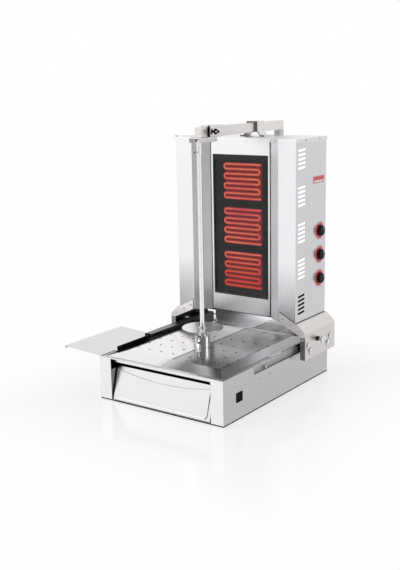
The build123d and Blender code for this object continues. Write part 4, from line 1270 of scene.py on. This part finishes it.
class GRILL_OT_screws(bpy.types.Operator):
    """Set the small screws of the casing, the covers and the brackets"""

    bl_idname = "grill.screws"
    bl_label = "Small screws"

    def execute(self, context):
        radius = context.scene.grill_sizes.screw_radius / MM
        screw = turned(ORIGIN, Z, (
            (radius, -0.2), (radius, 0.7), (radius - 0.4, 1.3), (radius - 1.2, 1.8),
            (1.4, 1.9)), 24)
        choose(screw, lambda spot, way: way.z > 0.9 and spot.z > 0.0018)
        bpy.ops.mesh.inset(thickness=0.0002, depth=0)
        bpy.ops.mesh.extrude_region_move(TRANSFORM_OT_translate={"value": (0, 0, -0.0011)})
        screw = closed(screw)
        column, base = [], []
        for side in (-1, 1):
            for x, z in ((186.6, 228.0), (217.0, 212.0), (264.0, 165.8)):
                column.append((side * x, bracket_low.y, z, -Y))
            for y in (column_front + 60, column_back - 50):
                column.append((side * (column_half + 1.9), y, column_top + 1, X * side))
            for z in (column_bottom + 30, 400, 620, column_top - 30):
                column.append((side * (column_half - 12), column_back, z, Y))
            for y in (197.3, 262.2):
                base.append((side * base_half, y, 97, X * side))
            for z in (18, base_top - 14):
                for x in (60, base_half - 14):
                    base.append((side * x, base_depth, z, Y))
        for shape, name, body, places in (
            (twin("screw", screw.data), "column_screws", "heater_column", column),
            (screw, "base_screws", "base", base),
        ):
            moves = [set_at(at(x, y, z), outward) for x, y, z, outward in places]
            fitted(spread(shape, moves), name, "zinc", body)
        return {"FINISHED"}


SHOULDER = 119


class GRILL_OT_brackets(bpy.types.Operator):
    """Darken the joint between the column and its brackets, and paint shade on the brackets' noses
    """

    bl_idname = "grill.brackets"
    bl_label = "Bracket lines"

    def execute(self, context):
        shoulder, front = bracket_low.z + SHOULDER, column_front - 0.1
        seams = pair(
            (column_half + 0.05, column_half + 1.0), (column_front + 0.5, column_back - 0.5),
            (shoulder, shoulder + 1.2), edge=0.2,
        )
        for side in (-1, 1):
            inner, outer = side * (column_half - 59.6), side * column_half
            slant = [at(inner, front, shoulder + 33), at(outer, front, shoulder + 1),
                     at(outer, front, shoulder + 2.4), at(inner, front, shoulder + 34.4)]
            seams.append(closed(plate(slant, -Y * 0.0009), 0.0002))
        fitted(joined(seams), "bracket_seams", "seal_and_painted_shade", "heater_column")
        # Thin dark plates on the lower front flanges: painted shade.
        noses = pair(
            (bracket_high.x - 18.5, bracket_high.x - 0.6), (column_front - 2.9, column_front - 2.4),
            (bracket_low.z + 0.6, shoulder - 41), -Y, 0.6, -0.1, 0.2,
        )
        fitted(joined(noses), "bracket_noses", "shade", "heater_column")
        return {"FINISHED"}


class GRILL_OT_baffles(bpy.types.Operator):
    """Hang a dark sheet behind the lowest group of slots on each side: painted shade"""

    bl_idname = "grill.baffles"
    bl_label = "Slot baffles"

    def execute(self, context):
        baffles = pair(
            (column_half - 3.2, column_half - 2.0), (438, 490), (238, 313), X, 2.0, edge=0.3,
            both=True,
        )
        fitted(joined(baffles), "slot_baffles", "seal_and_painted_shade", "heater_column")
        return {"FINISHED"}


class GRILL_OT_rails(bpy.types.Operator):
    """Line the slots beside the rails with painted shade on the left and painted light on the
    right, cap the left rail with painted shade and paint shade into the teeth's gaps
    """

    bl_idname = "grill.rails"
    bl_label = "Rail details"

    def execute(self, context):
        # Sheets in the slots: painted shade on the left, pale with a faint painted glow on the
        # right.
        for side, top, name, finish in (
            (-1, 153.7, "wear_strip_left", "painted_dark"), (1, 143, "wear_strip_right", "painted_slot_light"),
        ):
            low, high = sorted((side * 228.3, side * 229.0))
            liner = strip(at(low, 166, 112), at(high, 618, top), X, 2.0, edge=0.2, both=True)
            fitted(liner, name, finish, "base")
        # Black plate at the left rail's front end: painted shade.
        cap = strip(at(-252.8, 245.5, 143.4), at(-229.2, 249.9, 156.2), -Y, 0.8, -0.2, 0.2)
        fitted(cap, "rail_cap", "seal_and_painted_shade", "base")
        # Black in and under the teeth's gaps: painted shade.
        teeth = []
        for step in range(7):
            y = 317 + 13.5 * step
            teeth += pair((249.2, 253.1), (y - 3.1, y + 3.1), (154.1, 156.62), Z, 0.3)
        fitted(joined(teeth), "tooth_marks", "seal_and_painted_shade", "base")
        backs = pair((245.2, 252.9), (300, 618), (153.72, 153.95), Z, 0.4)
        fitted(joined(backs), "tooth_backs", "seal_and_painted_shade", "base")
        return {"FINISHED"}


class GRILL_OT_seams(bpy.types.Operator):
    """Lay painted shadow lines under the panel and round the foot of the base, and dark lines along
    the deck and the lid
    """

    bl_idname = "grill.seams"
    bl_label = "Seams"

    def execute(self, context):
        # Black line under the panel: painted shadow.
        edge = strip(
            at(-panel_high.x, panel_low.y - 0.6, column_bottom + 0.3),
            at(panel_high.x, panel_low.y + 0.1, column_bottom + 2.4), -Y, 0.3,
        )
        fitted(edge, "panel_edge", "seal_and_painted_shade", "heater_column")
        line = strip(at(-1.3, 549, 143.05), at(1.3, 631, 143.2), Z, 0.2)
        fitted(line, "deck_line", "seal_and_painted_shade", "base")
        low, high = span("top_cover")
        lines = pair(
            (45, column_half - 1), (low.y - 0.25, low.y + 0.2), (high.z - 1.2, high.z - 0.1),
            -Y, 0.2,
        )
        fitted(joined(lines), "lid_line", "line", "heater_column")
        # Black band round the foot of the base: painted contact shadow.
        half, foot, top = base_half + 0.2, 0.3, 4.2
        contact_shadow = pair((half - 2.0, half), (1.9, base_depth - 1.9), (foot, top), edge=0.4)
        for front in (-0.2, base_depth - 1.8):
            contact_shadow.append(strip(at(-half, front, foot), at(half, front + 2.0, top), edge=0.4))
        fitted(joined(contact_shadow), "base_skirt", "seal_and_painted_shade", "base")
        return {"FINISHED"}


ROD_EYE = 0.781


class GRILL_OT_mast_marks(bpy.types.Operator):
    """Darken the mast's slots and joint and the rod's eye, and paint shade into the slider's front
    recess
    """

    bl_idname = "grill.mast_marks"
    bl_label = "Mast and rod marks"

    def execute(self, context):
        low, high = span("mast")
        marks = [
            strip(at(x, low.y - 0.3, z), at(x + 8.0, low.y + 0.4, z + 2.0), -Y, 0.4, -0.2)
            for z in (column_top + 0.6, column_top + 9.4) for x in (-10.5, -1.0)
        ]
        marks.append(strip(
            at(-11.5, low.y - 0.7, high.z - 1.6), at(9.0, low.y + 0.2, high.z - 0.1), edge=0.5))
        fitted(joined(marks), "mast_slots", "seal_and_painted_shade", "base")
        low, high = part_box("top_slider")
        arm_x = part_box("arm")[1].x
        # Black strip at the slider's front: painted shade of its recess.
        shade_strip = strip(
            (arm_x + 0.0002, low.y - 0.0007, low.z + 0.0008),
            (arm_x + 0.0052, low.y + 0.0002, high.z - 0.0002), -Y, 0.5, -0.2,
        )
        fitted(shade_strip, "slider_groove", "seal_and_painted_shade", "top_slider")
        low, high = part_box("spit_rod")
        eye = turned(Vector(((low.x + high.x) / 2, low.y + 0.0006, ROD_EYE)), -Y, (
            (2.6, 0.0), (2.6, 0.8), (2.2, 1.0), (1.2, 0.7), (0.4, 0.6)), 20)
        fitted(closed(eye), "rod_eye", "seal_and_painted_shade", "spit")
        return {"FINISHED"}


TRAY_RIM = 38
DRAIN_PITCH = 58.3
COLLAR = (
    (2.35, -3.2), (2.35, -0.6), (4.0, -0.05), (4.0, 0.12), (3.5, 0.26), (2.3, 0.1),
    (1.95, -0.8), (1.95, -3.2),
)


class GRILL_OT_trays(bpy.types.Operator):
    """Set a round collar into each drain hole, black for the painted shade inside it, and darken
    the left tray's lips
    """

    bl_idname = "grill.trays"
    bl_label = "Tray details"

    def execute(self, context):
        for name, side in (("tray_left", -1), ("tray_right", 1)):
            low, high = span(name)
            crown = abs(high.x if side > 0 else low.x) - TRAY_RIM
            across = (crown - 5) / 3.7
            ring = closed(turned(ORIGIN, Z, COLLAR, 16, True))
            moves = [
                Matrix.Translation(at(
                    side * (column + 0.7) * across, spit_y + row * DRAIN_PITCH, high.z))
                for column in range(4) for row in range(-2, 3)
            ]
            # The collars' black is painted shade inside the holes.
            fitted(spread(ring, moves), name + "_collars", "seal_and_painted_shade", name)
        high = span("tray_left")[1]
        lips = [
            strip(at(high.x - 2.6, start, high.z - 0.5), at(high.x, end, high.z + 0.15),
                  Z, 0.3, edge=0.1)
            for start, end in ((73, spit_y - 36), (spit_y + 36, 494))
        ]
        fitted(joined(lips), "tray_lip", "seal_and_painted_shade", "tray_left")
        back = [at(-2.6, 495, high.z + 0.1), at(-0.2, 495, high.z + 0.1),
                at(-0.2, high.y, high.z - 9.4), at(-2.6, high.y, high.z - 9.4)]
        fitted(closed(plate(back, Z * 0.0002)), "tray_back_lip", "seal_and_painted_shade", "tray_left")
        return {"FINISHED"}


class GRILL_OT_shelf_slot(bpy.types.Operator):
    """Mark a dark slot with round ends in the shelf's upstand"""

    bl_idname = "grill.shelf_slot"
    bl_label = "Shelf slot"

    def execute(self, context):
        face = span("side_shelf")[1].x + 0.02
        points = []
        for step in range(24):
            angle = 2 * math.pi * step / 24
            shift = 20 if math.cos(angle) > 0 else -20
            y, z = 173 + shift + 4 * math.cos(angle), 149.5 + 4 * math.sin(angle)
            points.append(at(face, y, z))
        slot = rimmed(plate(points, X * 0.0003), X, 0.6, -0.2)
        fitted(closed(slot), "shelf_slot", "seal_and_painted_shade", "side_shelf")
        return {"FINISHED"}


def arc(x, z, radius, first, turn):
    """Seven points of an arc, from a first angle on in equal turns, in degrees."""
    angles = [math.radians(first + turn * step) for step in range(7)]
    return [(x + radius * math.cos(angle), z + radius * math.sin(angle)) for angle in angles]


class GRILL_OT_drawer(bpy.types.Operator):
    """Press a shallow field into the drawer's front, with a curved line, and paint the shadow of
    the gap down its side
    """

    bl_idname = "grill.drawer"
    bl_label = "Drawer front"

    def execute(self, context):
        low = span("drawer_front")[0]
        slope = drawer_lean()
        outward = Vector((0, -1, slope)).normalized()

        def on_front(points, proud):
            """Points of the leaning face, given across and up, in mm."""
            return [
                at(x, low.y + (z - low.z) * slope, z) + outward * proud * MM for x, z in points
            ]

        half, bottom, rounding = 176.5, 13.0, 11.0
        outline = arc(half - rounding, bottom + rounding, rounding, 270, 15)
        for step in range(25):
            x = half - 2 * half * step / 24
            outline.append((x, 84.0 + 16.0 * (x / half) ** 2))
        outline += arc(rounding - half, bottom + rounding, rounding, 180, 15)
        field = rimmed(plate(on_front(outline, 0.02), outward * 0.0009), outward, 1.2, -0.4)
        fitted(closed(field, 0.0003), "drawer_field", "drawer", "drawer")
        top = [(x, z) for x, z in outline if z > 83]
        upper = on_front([(x, z + 0.7) for x, z in top], 0.95)
        lower = on_front([(x, z - 1.6) for x, z in reversed(top)], 0.95)
        line = closed(plate(upper + lower, outward * 0.0002))
        fitted(line, "drawer_line", "line", "drawer")
        # Black wedge down the right side, wider at the top: painted shadow of the gap beside the
        # post.
        side = half + 0.5
        path = [(side, 102), (side, bottom + rounding)]
        path += arc(side - rounding, bottom + rounding - 0.5, rounding, 0, -15)
        outer = on_front([(x + 1.2 + max(0, z - 20) * 0.022, z - 1.5) for x, z in path], 0.05)
        inner = on_front([(x - 0.3, z + 0.3) for x, z in reversed(path)], 0.05)
        shade_strip = closed(plate(outer + inner, outward * 0.0003))
        fitted(shade_strip, "drawer_groove", "seal_and_painted_shade", "drawer")
        return {"FINISHED"}


SWITCH_SQUASH = 0.76
ROCKER_TILT = -17


class GRILL_OT_switch(bpy.types.Operator):
    """Bring the switch and its frame to their lower height and mark the rocker"""

    bl_idname = "grill.switch"
    bl_label = "Switch"

    def execute(self, context):
        low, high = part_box("rocker")
        centre = (low + high) / 2
        for name in ("rocker_formed", "switch_bezel_formed"):
            for corner in bpy.data.objects[name].data.vertices:
                corner.co.z = centre.z + (corner.co.z - centre.z) * SWITCH_SQUASH
        face = high.x - 0.0011
        bar = strip(
            (face, centre.y - 0.0005, centre.z + 0.0028),
            (face + 0.0006, centre.y + 0.0005, centre.z + 0.0062), X, 0.1,
        )
        tilt = Matrix.Rotation(math.radians(ROCKER_TILT), 4, "Y")
        bar.data.transform(Matrix.Translation(centre) @ tilt @ Matrix.Translation(-centre))
        fitted(bar, "switch_mark", "mark", "rocker")
        return {"FINISHED"}


# Stage

CAMERA_PLACE = (1653.5, -2044.9, 991.9)
CAMERA_YAW, CAMERA_PITCH, CAMERA_ROLL = 36.065, 12.69, -1.137
SENSOR = 36
CAMERA_LENS = SENSOR * 899.03 / 570


class GRILL_OT_camera(bpy.types.Operator):
    """Set the camera at the front right, a little above the grill"""

    bl_idname = "grill.camera"
    bl_label = "Camera"

    def execute(self, context):
        data = bpy.data.cameras.new("camera")
        data.lens = CAMERA_LENS
        data.sensor_width = SENSOR
        data.clip_end = 100
        camera = bpy.data.objects.new("camera", data)
        context.scene.collection.objects.link(camera)
        yaw, pitch, roll = (math.radians(a) for a in (CAMERA_YAW, CAMERA_PITCH, CAMERA_ROLL))
        ahead = Vector((-math.sin(yaw) * math.cos(pitch), math.cos(yaw) * math.cos(pitch),
                        -math.sin(pitch)))
        level = Vector((math.cos(yaw), math.sin(yaw), 0))
        top = level.cross(ahead)
        right = level * math.cos(roll) + top * math.sin(roll)
        up = top * math.cos(roll) - level * math.sin(roll)
        turn = Matrix((right, up, -ahead)).transposed()
        camera.matrix_world = Matrix.Translation(at(*CAMERA_PLACE)) @ turn.to_4x4()
        context.scene.camera = camera
        return {"FINISHED"}


def lamp(name, place, target, size, power):
    """A soft lamp with a rectangular face that looks at a target."""
    data = bpy.data.lights.new(name, "AREA")
    data.shape = "RECTANGLE"
    data.size, data.size_y = size
    data.energy = power
    made = bpy.data.objects.new(name, data)
    bpy.context.scene.collection.objects.link(made)
    made.location = place
    made.rotation_mode = "QUATERNION"
    made.rotation_quaternion = (Vector(target) - Vector(place)).to_track_quat("-Z", "Y")


def floor_material(stage):
    """Glossy white floor that keeps the shadow and is whiter further from the grill."""
    f = Finish("floor")
    ripple = f.noise(3, 2)
    shader = f.principled(
        Base_Color=tuple(stage.floor), Roughness=0.07 + ripple * 0.03, Specular_IOR_Level=0.9,
    )
    white = f.node("ShaderNodeEmission", {}, {"Color": (1, 1, 1), "Strength": 1.0})
    seen = f.node("ShaderNodeLightPath", out="Is Camera Ray")
    mirrored = f.node("ShaderNodeLightPath", out="Is Glossy Ray")
    through = f.node("ShaderNodeLightPath", out="Is Transmission Ray")
    x, y = f.axes(f.place)[:2]
    centre = at(0, base_depth / 2, 0)
    away = ((x - centre.x).size() - base_half * MM).most(
        (y - centre.y).size() - base_depth * MM / 2)
    open_share = f.clamp(away, 0.0, 0.45, stage.white, 0.97)
    share = (seen * open_share).most(mirrored.most(through) * stage.white)
    return f.output(f.node("ShaderNodeMixShader", {}, {0: share, 1: shader, 2: white}))


def studio_world(strength):
    """White to the camera; in reflections darker overhead and at the front right."""
    world = bpy.data.worlds.new("studio")
    world.use_nodes = True
    w = Nodes(world.node_tree)
    way = w.node("ShaderNodeTexCoord", out="Generated")
    x, y, z = w.axes(way)
    ahead = w.clamp(y, -0.35, 0.35, 1.0, 0.0)
    limit = 0.62 - ahead * 0.30
    dark = w.clamp((z - limit) / 0.25, 0.0, 1.0)
    toward = w.clamp(x * 0.62 - y * 0.78, 0.35, 0.95)
    colour = w.mix(dark, (1, 1, 1), (0.5, 0.5, 0.505))
    colour = w.mix(toward, colour, (0.25, 0.25, 0.255))
    seen = w.node("ShaderNodeLightPath", out="Is Camera Ray")
    colour = w.mix(seen, colour, (1, 1, 1))
    light = w.node("ShaderNodeBackground", {}, {"Color": colour, "Strength": strength})
    w.node("ShaderNodeOutputWorld", {}, {"Surface": light}, out=None)
    return world


class GRILL_OT_stage(bpy.types.Operator):
    """Make the pale floor, the bright backdrop and the soft lamps"""

    bl_idname = "grill.stage"
    bl_label = "Stage"

    def execute(self, context):
        stage = context.scene.grill_stage
        clear()
        bpy.ops.mesh.primitive_plane_add(size=60, location=(0, 0, 0))
        floor = context.object
        floor.name = "floor"
        floor.data.materials.append(floor_material(stage))
        context.scene.world = studio_world(stage.room)
        lamp("key", (-2.6, -2.6, 2.4), (0, 0, 0.35), (2.4, 2.0), stage.key)
        lamp("fill", (3.2, 0.6, 1.6), (0, 0, 0.3), (1.6, 1.6), stage.fill)
        context.scene.view_settings.view_transform = "Standard"
        return {"FINISHED"}


class GRILL_PT_panel(bpy.types.Panel):
    """Lists the grill's steps and settings."""

    bl_idname = "GRILL_PT_panel"
    bl_label = "Doner grill"
    bl_space_type = "VIEW_3D"
    bl_region_type = "UI"
    bl_category = "Grill"

    def draw(self, context):
        for step in STEPS:
            self.layout.operator(step.bl_idname)
        for group in GROUPS:
            settings = getattr(context.scene, group)
            for name in settings.bl_rna.properties.keys():
                if name not in ("rna_type", "name"):
                    self.layout.prop(settings, name)


STEPS = (
    GRILL_OT_camera, GRILL_OT_stage, GRILL_OT_finishes, GRILL_OT_edges, GRILL_OT_elements,
    GRILL_OT_glass_trim, GRILL_OT_knobs, GRILL_OT_dials, GRILL_OT_side_plate,
    GRILL_OT_bolts, GRILL_OT_lock_screws, GRILL_OT_thumb_screw, GRILL_OT_screws,
    GRILL_OT_brackets, GRILL_OT_baffles, GRILL_OT_rails, GRILL_OT_seams,
    GRILL_OT_mast_marks, GRILL_OT_trays, GRILL_OT_shelf_slot, GRILL_OT_drawer,
    GRILL_OT_switch,
)
GROUPS = {
    "grill_finishes": GrillFinishes, "grill_sizes": GrillSizes, "grill_stage": GrillStage,
}


def register():
    for name, group in GROUPS.items():
        bpy.utils.register_class(group)
        setattr(bpy.types.Scene, name, bpy.props.PointerProperty(type=group))
    for step in STEPS:
        bpy.utils.register_class(step)
    bpy.utils.register_class(GRILL_PT_panel)


def unregister():
    bpy.utils.unregister_class(GRILL_PT_panel)
    for step in reversed(STEPS):
        bpy.utils.unregister_class(step)
    for name, group in GROUPS.items():
        delattr(bpy.types.Scene, name)
        bpy.utils.unregister_class(group)


def main():
    register()
    grill = bpy.ops.grill
    grill.camera()
    grill.stage()
    grill.finishes()
    grill.edges()
    grill.elements()
    grill.glass_trim()
    grill.knobs()
    grill.dials()
    grill.side_plate()
    grill.bolts()
    grill.lock_screws()
    grill.thumb_screw()
    grill.screws()
    grill.brackets()
    grill.baffles()
    grill.rails()
    grill.seams()
    grill.mast_marks()
    grill.trays()
    grill.shelf_slot()
    grill.drawer()
    grill.switch()
    clear()


if __name__ == "__main__":
    main()
